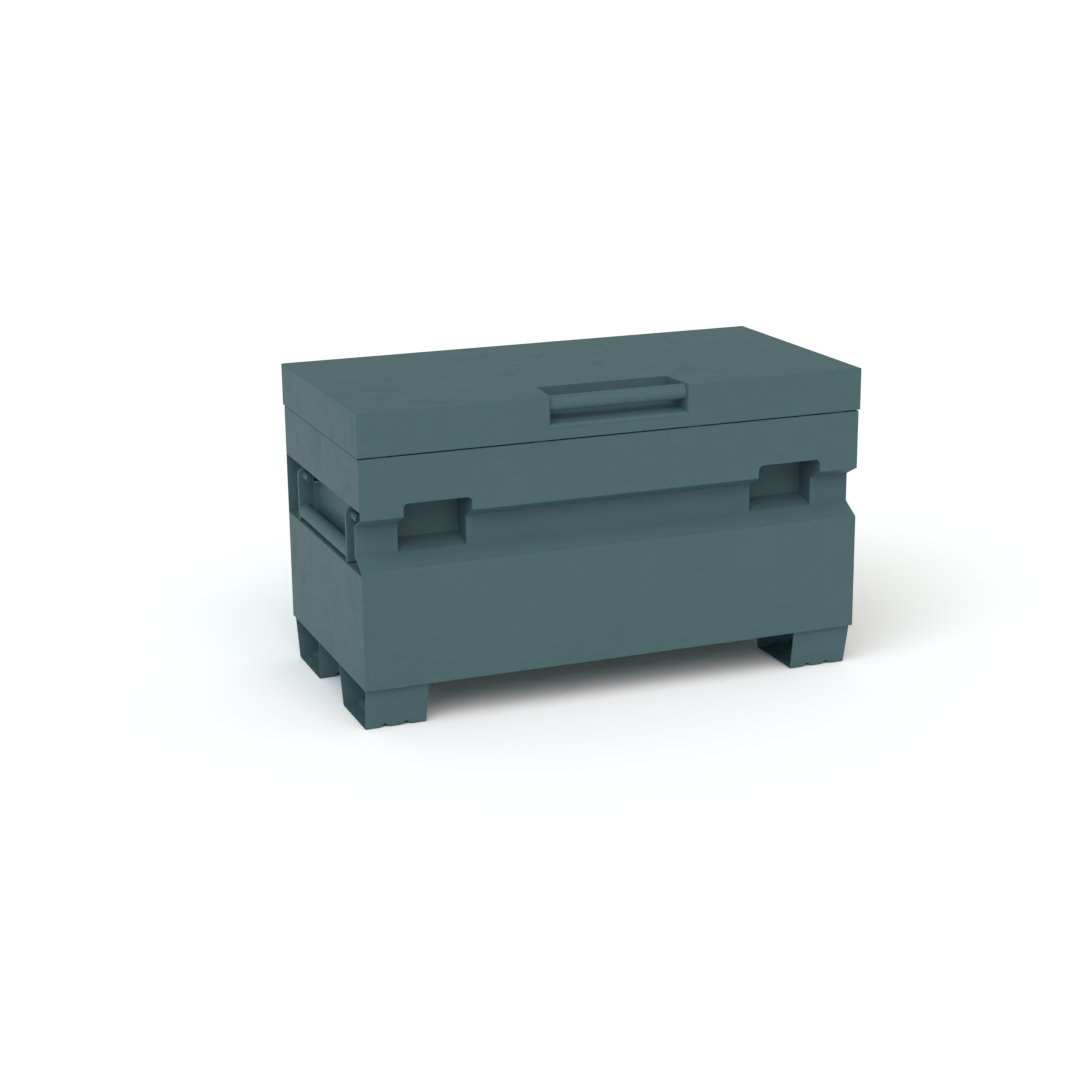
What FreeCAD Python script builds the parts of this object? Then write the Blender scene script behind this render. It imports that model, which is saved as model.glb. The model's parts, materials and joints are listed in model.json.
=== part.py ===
import FreeCAD, Part
import os

import Sketcher
from FreeCAD import Placement, Rotation, Vector

# Steel jobsite chest: X runs left to right, Y front to back, Z up.
# The origin lies on the floor, under the middle of the body.

DOC = FreeCAD.newDocument("jobsite_box")

# Driving sizes, in millimetres and degrees.
DRIVING = (
    ("body_width", 1219.2, "outside width of the body"),
    ("body_depth", 609.6, "outside depth of the body"),
    ("body_height", 526.3, "body bottom to body rim"),
    ("body_sheet", 1.9, "sheet thickness of the body"),
    ("panel_gap", 0.2, "side sheets and pockets behind the bends of the front sheet"),
    ("lower_face_height", 271.4, "front face below the waist"),
    ("lower_chamfer_rise", 27.6, "rise of the slope under the waist"),
    ("waist_height", 66.6, "height of the recessed waist"),
    ("waist_depth", 47.0, "how far the waist is set back"),
    ("upper_chamfer_rise", 23.4, "rise of the slope over the waist"),
    ("rim_width", 30.0, "inward flange round the mouth"),
    ("rim_lip_height", 12.0, "rain lip that stands on the flange"),
    ("side_face_height", 264.6, "side face below the hand recess"),
    ("side_recess_height", 142.5, "height of the side recess"),
    ("side_recess_depth", 45.0, "depth of the side recess"),
    ("floor_lip_height", 22.0, "upturned edge of the floor pan"),
    ("foot_height", 101.6, "floor to body bottom"),
    ("foot_width", 148.0, "foot along X, at its top"),
    ("foot_length", 214.0, "foot along Y, at its top"),
    ("foot_side_inset", 3.0, "foot from the body's side"),
    ("foot_front_inset", 10.5, "foot from the body's front or back"),
    ("foot_lean", 21.0, "how far a foot wall leans in at the bottom"),
    ("foot_taper", 2.2, "how much narrower each foot edge is at the bottom"),
    ("foot_sheet", 3.0, "sheet thickness of a foot"),
    ("foot_flange", 38.0, "top flange of a foot, folded inwards"),
    ("groove_width", 28.0, "width of a V groove in the sole"),
    ("groove_height", 10.0, "height of a V groove in the sole"),
    ("groove_spacing", 50.0, "from groove to groove"),
    ("pocket_side_gap", 48.4, "lock pocket to the side recess's wall"),
    ("pocket_width", 159.0, "inside width of a lock pocket"),
    ("pocket_depth", 102.0, "front face to the pocket's back wall"),
    ("pocket_floor_rise", 18.0, "rise of the sloped pocket floor"),
    ("pocket_headroom", 67.0, "pocket above its notch"),
    ("notch_rise", 30.0, "notch above the band's lower edge"),
    ("notch_radius", 12.0, "rounded corners of the notch"),
    ("handle_tube_diameter", 34.9, "grip tubes"),
    ("handle_tube_wall", 2.4, "wall of the grip tubes"),
    ("handle_front_gap", 114.8, "body front to the front arm of a side handle"),
    ("handle_rear_gap", 89.8, "body back to the rear arm of a side handle"),
    ("handle_side_inset", 1.5, "side handle inside the body's side face"),
    ("handle_pivot_drop", 31.5, "pivot below the top of the side recess"),
    ("handle_floor_gap", 3.0, "arm ends above the recess's ledge"),
    ("arm_thickness", 9.0, "flat arm of a side handle"),
    ("barrel_length", 44.0, "pivot barrel of a side handle"),
    ("barrel_diameter", 18.0, "pivot barrel of a side handle"),
    ("pivot_diameter", 12.0, "pivot pin of a side handle"),
    ("pivot_clearance", 0.08, "radial running clearance of a pivot"),
    ("side_gap", 0.6, "gap between an arm and its barrel"),
    ("gusset_thickness", 4.0, "shelf that carries a pivot barrel"),
    ("lid_height", 99.5, "height of the lid"),
    ("lid_gap", 2.8, "parting gap between body and lid"),
    ("lid_overhang", 2.5, "lid beyond the body on each side"),
    ("lid_sheet", 1.9, "sheet thickness of the lid"),
    ("lid_edge_radius", 4.0, "outside radius of the lid's top edges"),
    ("lid_hem_width", 18.0, "inward hem under the lid's skirt"),
    ("lid_opening_angle", 90.0, "how far the lid opens"),
    ("hand_pocket_width", 334.0, "lid pocket at the front, inside"),
    ("hand_pocket_taper", 8.0, "how much each end closes in towards the back"),
    ("hand_pocket_reach", 101.5, "lid front to the pocket's back wall"),
    ("hand_pocket_drop", 72.5, "lid top to the pocket's front lip"),
    ("hand_pocket_lip", 8.0, "front lip of the pocket, up to its sloped floor"),
    ("hand_pocket_bend", 6.5, "outside radius of the front lip's bend"),
    ("hand_pocket_floor_rise", 11.0, "rise of the pocket's sloped floor"),
    ("lid_tube_drop", 4.0, "top of the lid's grip tube below the lid top"),
    ("lid_tube_setback", 4.5, "front of the lid's grip tube behind the lid front"),
    ("stiffener_spacing", 640.0, "lid stiffener to lid stiffener"),
    ("stiffener_width", 60.0, "raised part of a lid stiffener"),
    ("stiffener_height", 25.0, "depth of a lid stiffener"),
    ("stiffener_flange", 15.0, "welding flange of a lid stiffener"),
    ("hinge_end_gap", 34.6, "each end of the hinge to the body's side"),
    ("hinge_barrel_diameter", 9.0, "hinge knuckles"),
    ("hinge_pin_diameter", 5.0, "hinge pin"),
    ("hinge_clearance", 0.08, "radial running clearance of the hinge pin"),
    ("hinge_sheet", 1.9, "hinge leaf thickness"),
    ("hinge_leaf_height", 42.0, "hinge leaf"),
    ("hinge_knuckle_pitch", 125.0, "from knuckle to knuckle, at least"),
    ("hinge_gap", 0.5, "gap beside a knuckle"),
    ("hasp_thickness", 5.0, "lock blades"),
    ("hasp_width", 35.0, "lock blade, front to back"),
    ("hasp_setback", 50.0, "front face to the blade's front edge"),
    ("hasp_clearance", 12.0, "blade end above the notch"),
    ("hasp_hole_diameter", 13.0, "padlock hole"),
    ("hasp_hole_rise", 17.0, "padlock hole above the blade's end"),
    ("hasp_shoulder", 54.0, "upper arm of the lid blade, its height"),
    ("hasp_side_gap", 1.0, "gap between the two lock blades"),
    ("staple_height", 46.0, "fixed lock blade"),
    ("slot_clearance", 4.0, "slot round the lid blade"),
    ("strut_radius", 250.0, "hinge to either strut pivot"),
    ("strut_rise_angle", 8.0, "angle of the lid pivot over the hinge"),
    ("strut_spread_angle", 70.0, "angle between the two strut pivots, lid closed"),
    ("strut_inset", 77.0, "strut's centre plane inside the body's side"),
    ("strut_tube_diameter", 22.0, "gas strut cylinder"),
    ("strut_tube_wall", 1.6, "closed end of a gas strut cylinder"),
    ("strut_rod_diameter", 10.0, "gas strut rod"),
    ("strut_slack", 0.4, "radial clearance of the rod"),
    ("strut_end_gap", 1.5, "rod to the closed end of its cylinder, lid closed"),
    ("strut_overlap", 20.0, "rod still inside its cylinder, lid open"),
    ("eye_diameter", 18.0, "end eye of a gas strut"),
    ("eye_width", 10.0, "end eye of a gas strut, along its pin"),
    ("eye_length", 22.0, "end eye of a gas strut, from its pin to the strut"),
    ("stud_diameter", 8.0, "pin that carries a gas strut"),
    ("stud_clearance", 0.08, "radial running clearance of an eye"),
    ("bracket_sheet", 3.0, "strut brackets"),
    ("bracket_width", 44.0, "strut brackets"),
    ("bracket_height", 60.0, "strut bracket on the body"),
    ("bracket_gap", 8.0, "lid bracket to the strut cylinder"),
    ("bumper_width", 12.0, "rubber bumpers, across the rim"),
    ("bumper_length", 30.0, "rubber bumpers, along the rim"),
    ("bumper_inset", 52.0, "outer bumpers from the body's side"),
    ("bumper_slack", 0.3, "bumper below the lid's hem"),
)


class Size:
    """A length or angle that knows its number and the formula that gives it."""

    def __init__(self, number, formula):
        self.number = float(number)
        self.formula = formula

    @staticmethod
    def of(value):
        """Wraps a plain number, and leaves a Size as it is."""
        return value if isinstance(value, Size) else Size(value, repr(float(value)))

    def _with(self, sign, left, right, number):
        return Size(number, "(%s %s %s)" % (left.formula, sign, right.formula))

    def __add__(self, other):
        other = Size.of(other)
        return self._with("+", self, other, self.number + other.number)

    def __radd__(self, other):
        return Size.of(other) + self

    def __sub__(self, other):
        other = Size.of(other)
        return self._with("-", self, other, self.number - other.number)

    def __rsub__(self, other):
        return Size.of(other) - self

    def __mul__(self, other):
        other = Size.of(other)
        return self._with("*", self, other, self.number * other.number)

    def __rmul__(self, other):
        return Size.of(other) * self

    def __truediv__(self, other):
        other = Size.of(other)
        return self._with("/", self, other, self.number / other.number)

    def __neg__(self):
        return Size.of(-1) * self


def root(value):
    """Square root of a Size."""
    return Size(value.number ** 0.5, "sqrt(%s)" % value.formula)


def sine(angle):
    """Sine of an angle in degrees."""
    turned = Rotation(Vector(0, 0, 1), angle.number).multVec(Vector(1, 0, 0))
    return Size(turned.y, "sin(%s)" % angle.formula)


def cosine(angle):
    """Cosine of an angle in degrees."""
    turned = Rotation(Vector(0, 0, 1), angle.number).multVec(Vector(1, 0, 0))
    return Size(turned.x, "cos(%s)" % angle.formula)


def fill_sheet():
    """Writes the driving sizes to the spreadsheet and returns them by name."""
    sheet = DOC.addObject("Spreadsheet::Sheet", "sizes")
    named = {}
    for row, (alias, number, meaning) in enumerate(DRIVING, start=1):
        sheet.set("A%d" % row, alias)
        sheet.set("B%d" % row, repr(number))
        sheet.set("C%d" % row, meaning)
        sheet.setAlias("B%d" % row, alias)
        named[alias] = Size(number, "sizes." + alias)
    DOC.recompute()
    return named


class Named:
    """The driving sizes as attributes."""

    def __init__(self, sizes):
        self.__dict__.update(sizes)


S = Named(fill_sheet())
ZERO = Size.of(0)
SIDES = (("left", -1), ("right", 1))
ENDS = (("front", -1), ("rear", 1))

# Planes and levels that the pieces share.
FRONT = -S.body_depth / 2
BACK = S.body_depth / 2
HALF_WIDTH = S.body_width / 2
BOTTOM = S.foot_height
RIM = BOTTOM + S.body_height
LID_BOTTOM = RIM + S.lid_gap
LID_TOP = LID_BOTTOM + S.lid_height
LOWER_EDGE = BOTTOM + S.lower_face_height
WAIST_BOTTOM = LOWER_EDGE + S.lower_chamfer_rise
WAIST_TOP = WAIST_BOTTOM + S.waist_height
BAND_EDGE = WAIST_TOP + S.upper_chamfer_rise
WAIST_PLANE = FRONT + S.waist_depth
LEDGE = BOTTOM + S.side_face_height
RECESS_TOP = LEDGE + S.side_recess_height
NOTCH_TOP = BAND_EDGE + S.notch_rise
POCKET_BACK = FRONT + S.pocket_depth
POCKET_TOP = NOTCH_TOP + S.pocket_headroom
POCKET_X = HALF_WIDTH - S.side_recess_depth - S.pocket_side_gap - 3 * S.body_sheet - S.pocket_width / 2
HINGE_Y = BACK + S.lid_overhang - S.hinge_barrel_diameter / 2
HINGE_Z = RIM + S.lid_gap / 2
HINGE_LEAF_START = S.hinge_barrel_diameter / 2 + S.hinge_gap
HINGE_LENGTH = S.body_width - 2 * S.hinge_end_gap
BACK_TOP = HINGE_Z - HINGE_LEAF_START
LID_FRONT = FRONT - S.lid_overhang
LID_BACK = BACK + S.lid_overhang
PIVOT_Z = RECESS_TOP - S.handle_pivot_drop
TUBE_RADIUS = S.handle_tube_diameter / 2
PARALLEL = 0.999  # cosine from which an edge counts as running along an axis
WIDE_FACE = 1.2  # a face wider than this many sheets is a wide face, not a cut edge
NODES = {}


def keep(label, thing):
    """Gives a finished piece the label that names its file."""
    thing.Label = label
    NODES[label] = thing
    return thing


def bind(thing, **formulas):
    """Ties properties of an object to sizes."""
    for name, size in formulas.items():
        size = Size.of(size)
        setattr(thing, name, size.number)
        thing.setExpression(name, size.formula)


def place(thing, spot, tilt=None):
    """Ties an object's place to sizes; tilt turns it about X, in degrees."""
    spot = [Size.of(value) for value in spot]
    turn = Rotation(Vector(1, 0, 0), tilt.number) if tilt else Rotation()
    thing.Placement = Placement(Vector(*(value.number for value in spot)), turn)
    for axis, value in zip("xyz", spot):
        thing.setExpression("Placement.Base." + axis, value.formula)
    if tilt:
        thing.setExpression("Placement.Rotation.Angle", tilt.formula)


def new_body(label):
    """An empty body that will be one piece."""
    return keep(label, DOC.addObject("PartDesign::Body", label))


def sketch_on(body, plane, offset):
    """A sketch on the body's YZ, XZ or XY plane, moved to X, Y or Z = offset."""
    sketch = body.newObject("Sketcher::SketchObject", body.Name + "_sketch")
    role = plane + "_Plane"
    support = [item for item in body.Origin.OriginFeatures if item.Role == role]
    sketch.AttachmentSupport = [(support[0], "")]
    sketch.MapMode = "FlatFace"
    along = -Size.of(offset) if plane == "XZ" else Size.of(offset)
    sketch.setExpression("AttachmentOffset.Base.z", along.formula)
    return sketch


def pin_point(sketch, element, point, x, y):
    """Fixes one point of a sketch element by two distances from the origin."""
    for kind, size in (("DistanceX", x), ("DistanceY", y)):
        size = Size.of(size)
        rule = Sketcher.Constraint(kind, -1, 1, element, point, size.number)
        index = sketch.addConstraint(rule)
        sketch.setExpression("Constraints[%d]" % index, size.formula)


def draw_polygon(sketch, corners):
    """A closed outline through the corners, each an (x, y) pair of sizes."""
    corners = [(Size.of(x), Size.of(y)) for x, y in corners]
    start = sketch.GeometryCount
    count = len(corners)
    points = [Vector(x.number, y.number, 0) for x, y in corners]
    for index in range(count):
        line = Part.LineSegment(points[index], points[(index + 1) % count])
        sketch.addGeometry(line, False)
    for index in range(count):
        following = start + (index + 1) % count
        sketch.addConstraint(Sketcher.Constraint("Coincident", start + index, 2, following, 1))
    for index, (x, y) in enumerate(corners):
        pin_point(sketch, start + index, 1, x, y)


def draw_rectangle(sketch, low, high):
    """A rectangle between two opposite corners."""
    draw_polygon(sketch, [low, (high[0], low[1]), high, (low[0], high[1])])


def draw_circle(sketch, centre, radius):
    """A circle that follows its centre and radius."""
    radius = Size.of(radius)
    spot = Vector(Size.of(centre[0]).number, Size.of(centre[1]).number, 0)
    element = sketch.addGeometry(Part.Circle(spot, Vector(0, 0, 1), radius.number), False)
    index = sketch.addConstraint(Sketcher.Constraint("Radius", element, radius.number))
    sketch.setExpression("Constraints[%d]" % index, radius.formula)
    pin_point(sketch, element, 3, *centre)


def extrude(kind, body, sketch, length):
    """Pads or pockets a sketch, half the length to each side of its plane."""
    feature = body.newObject("PartDesign::" + kind, body.Name + "_" + kind.lower())
    feature.Profile = sketch
    feature.SideType = "Symmetric"
    bind(feature, Length=length)
    DOC.recompute()
    return feature


def add_prism(body, plane, middle, length, corners):
    """Adds a prism with a polygon section."""
    sketch = sketch_on(body, plane, middle)
    draw_polygon(sketch, corners)
    return extrude("Pad", body, sketch, length)


def cut_prism(body, plane, middle, length, corners):
    """Removes a prism with a polygon section."""
    sketch = sketch_on(body, plane, middle)
    draw_polygon(sketch, corners)
    return extrude("Pocket", body, sketch, length)


def add_block(body, low, high):
    """Adds a box between two opposite corners."""
    sketch = sketch_on(body, "XY", (low[2] + high[2]) / 2)
    draw_rectangle(sketch, low[:2], high[:2])
    return extrude("Pad", body, sketch, high[2] - low[2])


def cut_block(body, low, high):
    """Removes a box between two opposite corners."""
    sketch = sketch_on(body, "XY", (low[2] + high[2]) / 2)
    draw_rectangle(sketch, low[:2], high[:2])
    return extrude("Pocket", body, sketch, high[2] - low[2])


def discs(kind, body, plane, low, high, circles):
    """Adds or removes round bars between two levels along a plane's normal."""
    sketch = sketch_on(body, plane, (Size.of(low) + high) / 2)
    for centre, radius in circles:
        draw_circle(sketch, centre, radius)
    return extrude(kind, body, sketch, Size.of(high) - low)


def bend_edges(feature, axis, sheet):
    """Names the outward folds of a bent sheet that run along axis.

    A fold lies between two wide faces; the cut edges of the sheet are left sharp.
    """
    shape = feature.Shape
    names = []
    for index, edge in enumerate(shape.Edges, start=1):
        line = edge.Curve
        if not isinstance(line, Part.Line) or abs(line.Direction.dot(axis)) < PARALLEL:
            continue
        faces = shape.ancestorsOfType(edge, Part.Face)
        middle = edge.CenterOfMass
        widths = [2 * (face.CenterOfMass - middle).cross(axis).Length for face in faces]
        if min(widths) < WIDE_FACE * sheet.number:
            continue
        outward = faces[1].normalAt(0, 0)
        if outward.dot(faces[0].CenterOfMass - middle) < 0:
            names.append("Edge%d" % index)
    return names


def round_bends(body, feature, axis, sheet):
    """Rounds the outside of every fold by the sheet's own thickness."""
    fillet = body.newObject("PartDesign::Fillet", body.Name + "_bend")
    fillet.Base = (feature, bend_edges(feature, axis, sheet))
    bind(fillet, Radius=sheet)
    DOC.recompute()


def join(kind, label, *pieces):
    """A boolean of primitives: Part::Cut, Part::Fuse, Part::Common or Part::Compound."""
    thing = DOC.addObject(kind, label)
    if kind == "Part::Compound":
        thing.Links = list(pieces)
    else:
        thing.Base, thing.Tool = pieces
    return thing


def waist_turn(rise):
    """Tangent of half the angle by which the front sheet turns at a slope."""
    slope = root(rise * rise + S.waist_depth * S.waist_depth)
    return (slope - rise) / S.waist_depth


def front_inner_line(depth):
    """Line through the waist, that far behind the front sheet's face, from bottom to top."""
    lower = depth * waist_turn(S.lower_chamfer_rise)
    upper = depth * waist_turn(S.upper_chamfer_rise)
    inner = FRONT + depth
    return [
        (inner, LOWER_EDGE - lower),
        (inner + S.waist_depth, WAIST_BOTTOM - lower),
        (inner + S.waist_depth, WAIST_TOP + upper),
        (inner, BAND_EDGE + upper),
    ]


def make_front_panel():
    """Bent front sheet: lower face, slope, waist, slope, band, flange and rain lip."""
    body = new_body("front_panel")
    lip = FRONT + S.rim_width
    outer = [
        (FRONT, BOTTOM),
        (FRONT, LOWER_EDGE),
        (WAIST_PLANE, WAIST_BOTTOM),
        (WAIST_PLANE, WAIST_TOP),
        (FRONT, BAND_EDGE),
        (FRONT, RIM),
        (lip - S.body_sheet, RIM),
        (lip - S.body_sheet, RIM + S.rim_lip_height),
        (lip, RIM + S.rim_lip_height),
        (lip, RIM - S.body_sheet),
        (FRONT + S.body_sheet, RIM - S.body_sheet),
    ]
    inner = front_inner_line(S.body_sheet)[::-1] + [(FRONT + S.body_sheet, BOTTOM)]
    pad = add_prism(body, "YZ", ZERO, S.body_width, outer + inner)
    round_bends(body, pad, Vector(1, 0, 0), S.body_sheet)
    for _, side in SIDES:
        lip_end = side * (HALF_WIDTH - S.rim_width + S.body_sheet)
        low = (lip_end, FRONT, RIM)
        high = (side * (HALF_WIDTH + S.body_sheet), lip + S.body_sheet, RIM + 2 * S.rim_lip_height)
        cut_block(body, low, high)
        cut_lock_opening(body, side)
    return body


def cut_lock_opening(body, side):
    """Opening of one lock pocket: through the waist, the slope and the band's edge."""
    middle = side * POCKET_X
    half = S.pocket_width / 2
    radius = S.notch_radius
    reach = FRONT + S.waist_depth / 2
    depth = S.waist_depth + 4 * S.body_sheet
    low = (middle - half, WAIST_BOTTOM)
    for corner in ((middle + half, NOTCH_TOP - radius), (middle + half - radius, NOTCH_TOP)):
        start = low if corner[1] is not NOTCH_TOP else (middle - half + radius, WAIST_BOTTOM)
        sketch = sketch_on(body, "XZ", reach)
        draw_rectangle(sketch, start, corner)
        extrude("Pocket", body, sketch, depth)
    rounds = [((middle + end * (half - radius), NOTCH_TOP - radius), radius) for end in (-1, 1)]
    discs("Pocket", body, "XZ", reach - depth / 2, reach + depth / 2, rounds)


def make_side_panel(name, side):
    """Bent side sheet: lower face, ledge, recessed wall, band, flange and rain lip."""
    body = new_body(name + "_side_panel")
    sheet = S.body_sheet

    def across(depth):
        return side * (HALF_WIDTH - depth)

    recess = S.side_recess_depth
    corners = [
        (across(ZERO), BOTTOM),
        (across(ZERO), LEDGE),
        (across(recess), LEDGE),
        (across(recess), RECESS_TOP),
        (across(ZERO), RECESS_TOP),
        (across(ZERO), RIM),
        (across(S.rim_width - sheet), RIM),
        (across(S.rim_width - sheet), RIM + S.rim_lip_height),
        (across(S.rim_width), RIM + S.rim_lip_height),
        (across(S.rim_width), RIM - sheet),
        (across(sheet), RIM - sheet),
        (across(sheet), RECESS_TOP + sheet),
        (across(recess + sheet), RECESS_TOP + sheet),
        (across(recess + sheet), LEDGE - sheet),
        (across(sheet), LEDGE - sheet),
        (across(sheet), BOTTOM),
    ]
    pad = add_prism(body, "XZ", ZERO, S.body_depth - 2 * sheet, corners)
    round_bends(body, pad, Vector(0, 1, 0), sheet)
    inner = across(S.rim_width + sheet)
    top = RIM + 2 * S.rim_lip_height
    under = RIM - 2 * sheet
    cut_block(body, (across(sheet), FRONT, under), (inner, FRONT + S.rim_width, top))
    behind = HINGE_Y - HINGE_LEAF_START - S.hinge_sheet
    cut_block(body, (across(sheet), behind, under), (inner, BACK, top))
    corner_high = (across(sheet), FRONT + S.rim_width, top)
    cut_block(body, (across(-sheet), FRONT, RIM - sheet), corner_high)
    beyond = FRONT - sheet
    line = front_inner_line(sheet + S.panel_gap)
    wedge = [(beyond, line[0][1])] + line + [(beyond, line[3][1])]
    cut_prism(body, "YZ", side * HALF_WIDTH, 4 * S.side_recess_depth, wedge)
    return body


def make_back_panel():
    """Flat back sheet, stopped below the hinge barrel."""
    body = new_body("back_panel")
    low = (-HALF_WIDTH, BACK - S.body_sheet, BOTTOM)
    add_block(body, low, (HALF_WIDTH, BACK, BACK_TOP))
    return body


def make_floor_panel():
    """Floor pan with its upturned edge."""
    body = new_body("floor_panel")
    sheet = S.body_sheet
    low = (sheet - HALF_WIDTH, FRONT + sheet, BOTTOM)
    high = (HALF_WIDTH - sheet, BACK - sheet, BOTTOM + S.floor_lip_height)
    add_block(body, low, high)
    inner_low = (low[0] + sheet, low[1] + sheet, BOTTOM + sheet)
    inner_high = (high[0] - sheet, high[1] - sheet, high[2] + sheet)
    cut_block(body, inner_low, inner_high)
    return body


def make_lock_pocket(name, side):
    """Folded housing behind one lock opening, with a slot for the lid blade."""
    body = new_body(name + "_lock_pocket")
    sheet = S.body_sheet
    middle = side * POCKET_X
    slope = S.pocket_floor_rise / (S.pocket_depth - S.waist_depth)
    line = front_inner_line(sheet + S.panel_gap)
    back_floor = WAIST_BOTTOM + S.pocket_floor_rise
    outer = [
        (line[1][0], WAIST_BOTTOM - sheet + slope * sheet),
        (POCKET_BACK + sheet, back_floor - sheet + slope * sheet),
        (POCKET_BACK + sheet, POCKET_TOP + sheet),
        (line[3][0], POCKET_TOP + sheet),
        line[3],
        line[2],
    ]
    add_prism(body, "YZ", middle, S.pocket_width + 2 * sheet, outer)
    hollow = [
        (FRONT, WAIST_BOTTOM - slope * S.waist_depth),
        (POCKET_BACK, back_floor),
        (POCKET_BACK, POCKET_TOP),
        (FRONT, POCKET_TOP),
    ]
    cut_prism(body, "YZ", middle, S.pocket_width, hollow)
    half_slot = S.hasp_thickness / 2 + S.slot_clearance
    swing = blade_swing() + S.slot_clearance
    slot_low = (middle - half_slot, FRONT + S.hasp_setback - swing, POCKET_TOP - sheet)
    slot_back = FRONT + S.hasp_setback + S.hasp_width + S.slot_clearance
    cut_block(body, slot_low, (middle + half_slot, slot_back, POCKET_TOP + 2 * sheet))
    return body


def blade_swing():
    """How far the lid blade's end moves forward while it leaves the pocket."""
    reach = HINGE_Y - FRONT - S.hasp_setback
    below = HINGE_Z - NOTCH_TOP - S.hasp_clearance
    return root(reach * reach + below * below) - reach


def blade_hole():
    """Centre of the padlock hole, as (Y, Z)."""
    y = FRONT + S.hasp_setback + S.hasp_width / 2
    return y, NOTCH_TOP + S.hasp_clearance + S.hasp_hole_rise


def make_lock_staples():
    """Fixed blades on the pockets' back walls, beside the lid's blades."""
    body = new_body("lock_staples")
    front = FRONT + S.hasp_setback
    low = NOTCH_TOP + S.hasp_clearance
    high = low + S.staple_height
    slant = S.staple_height / 4
    corners = [
        (front, low + slant),
        (front + slant, low),
        (POCKET_BACK, low),
        (POCKET_BACK, high),
        (front + slant, high),
        (front, high - slant),
    ]
    for _, side in SIDES:
        middle = side * (POCKET_X + S.hasp_thickness + S.hasp_side_gap)
        add_prism(body, "YZ", middle, S.hasp_thickness, corners)
    drill_blades(body)


def drill_blades(body):
    """Padlock holes through the blades of both pockets."""
    reach = POCKET_X + 2 * S.hasp_thickness + S.hasp_side_gap
    hole = [(blade_hole(), S.hasp_hole_diameter / 2)]
    discs("Pocket", body, "YZ", -reach, reach, hole)


def make_foot(name, side, end):
    """Folded foot: two leaning walls, flanges turned in, and a grooved sole."""
    body = new_body(name)
    sheet = S.foot_sheet
    outer = end * (BACK - S.foot_front_inset)
    inner = outer - end * S.foot_length
    lean = S.foot_lean
    slant = root(S.foot_height * S.foot_height + lean * lean) / S.foot_height
    wall = sheet * slant
    shift = lean * sheet / S.foot_height
    middle = side * (HALF_WIDTH - S.foot_side_inset - S.foot_width / 2)
    left = []
    right = []
    for start, toward in ((outer, -end), (inner, end)):
        left.append([
            (start + toward * S.foot_flange, BOTTOM - sheet),
            (start + toward * S.foot_flange, BOTTOM),
            (start, BOTTOM),
            (start + toward * lean, ZERO),
        ])
        right.append([
            (start + toward * (lean - shift + wall), sheet),
            (start + toward * (shift + wall), BOTTOM - sheet),
        ])
    corners = left[0] + left[1][::-1] + right[1][::-1] + right[0]
    pad = add_prism(body, "YZ", middle, S.foot_width, corners)
    round_bends(body, pad, Vector(1, 0, 0), sheet)
    add_sole_grooves(body, middle, (outer + inner) / 2)
    trim_foot(body, middle, (outer + inner) / 2)
    return body


def add_sole_grooves(body, middle, centre):
    """Two V grooves pressed up along the sole, open through both walls."""
    slope = S.groove_width / 2 / S.groove_height
    steep = root(slope * slope + Size.of(1)) / slope
    thick = S.foot_sheet * steep
    reach = S.foot_length - 2 * S.foot_lean
    half = S.groove_width / 2
    for step in (-1, 1):
        x = middle + step * S.groove_spacing / 2
        ridge = [
            (x - half - thick * slope, ZERO),
            (x + half + thick * slope, ZERO),
            (x, S.groove_height + thick),
        ]
        add_prism(body, "XZ", centre, reach - 2 * S.foot_sheet, ridge)
        groove = [(x - half, ZERO), (x + half, ZERO), (x, S.groove_height)]
        cut_prism(body, "XZ", centre, reach + 4 * S.foot_sheet, groove)


def trim_foot(body, middle, centre):
    """Tapers the foot's two open edges towards the sole."""
    for step in (-1, 1):
        edge = middle + step * S.foot_width / 2
        beyond = edge + step * S.foot_taper
        wedge = [(edge, BOTTOM), (edge - step * S.foot_taper, ZERO), (beyond, ZERO), (beyond, BOTTOM)]
        cut_prism(body, "XZ", centre, 2 * S.foot_length, wedge)


def arm_positions():
    """Front faces of the two arms of a side handle, front one first."""
    return FRONT + S.handle_front_gap, BACK - S.handle_rear_gap - S.arm_thickness


def make_side_handle(name, side):
    """Drop handle: two flat arms with their pivot pins, a grip tube, and the body's barrels."""
    radius = TUBE_RADIUS
    x = side * (HALF_WIDTH - S.handle_side_inset - radius)
    low = LEDGE + S.handle_floor_gap
    pin = S.pivot_diameter / 2
    pivot = (x, PIVOT_Z)
    starts = arm_positions()
    barrels = new_body(name + "_pivot_barrels")
    for (end_name, _), start in zip(ENDS, starts):
        arm = new_body("%s_handle_%s_arm" % (name, end_name))
        end = start + S.arm_thickness
        sketch = sketch_on(arm, "XZ", (start + end) / 2)
        draw_rectangle(sketch, (x - radius, low), (x + radius, PIVOT_Z))
        extrude("Pad", arm, sketch, S.arm_thickness)
        discs("Pad", arm, "XZ", start, end, [(pivot, radius)])
        barrel_back = start - S.side_gap
        barrel_front = barrel_back - S.barrel_length
        discs("Pad", arm, "XZ", barrel_front, start, [(pivot, pin)])
        discs("Pad", barrels, "XZ", barrel_front, barrel_back, [(pivot, S.barrel_diameter / 2)])
        add_gusset(barrels, side, x, barrel_front, barrel_back)
        bore = [(pivot, pin + S.pivot_clearance)]
        discs("Pocket", barrels, "XZ", barrel_front, barrel_back, bore)
    grip = new_body(name + "_handle_grip")
    centre = (x, low + radius)
    near = starts[0] + S.arm_thickness
    discs("Pad", grip, "XZ", near, starts[1], [(centre, radius)])
    discs("Pocket", grip, "XZ", near, starts[1], [(centre, radius - S.handle_tube_wall)])


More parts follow.
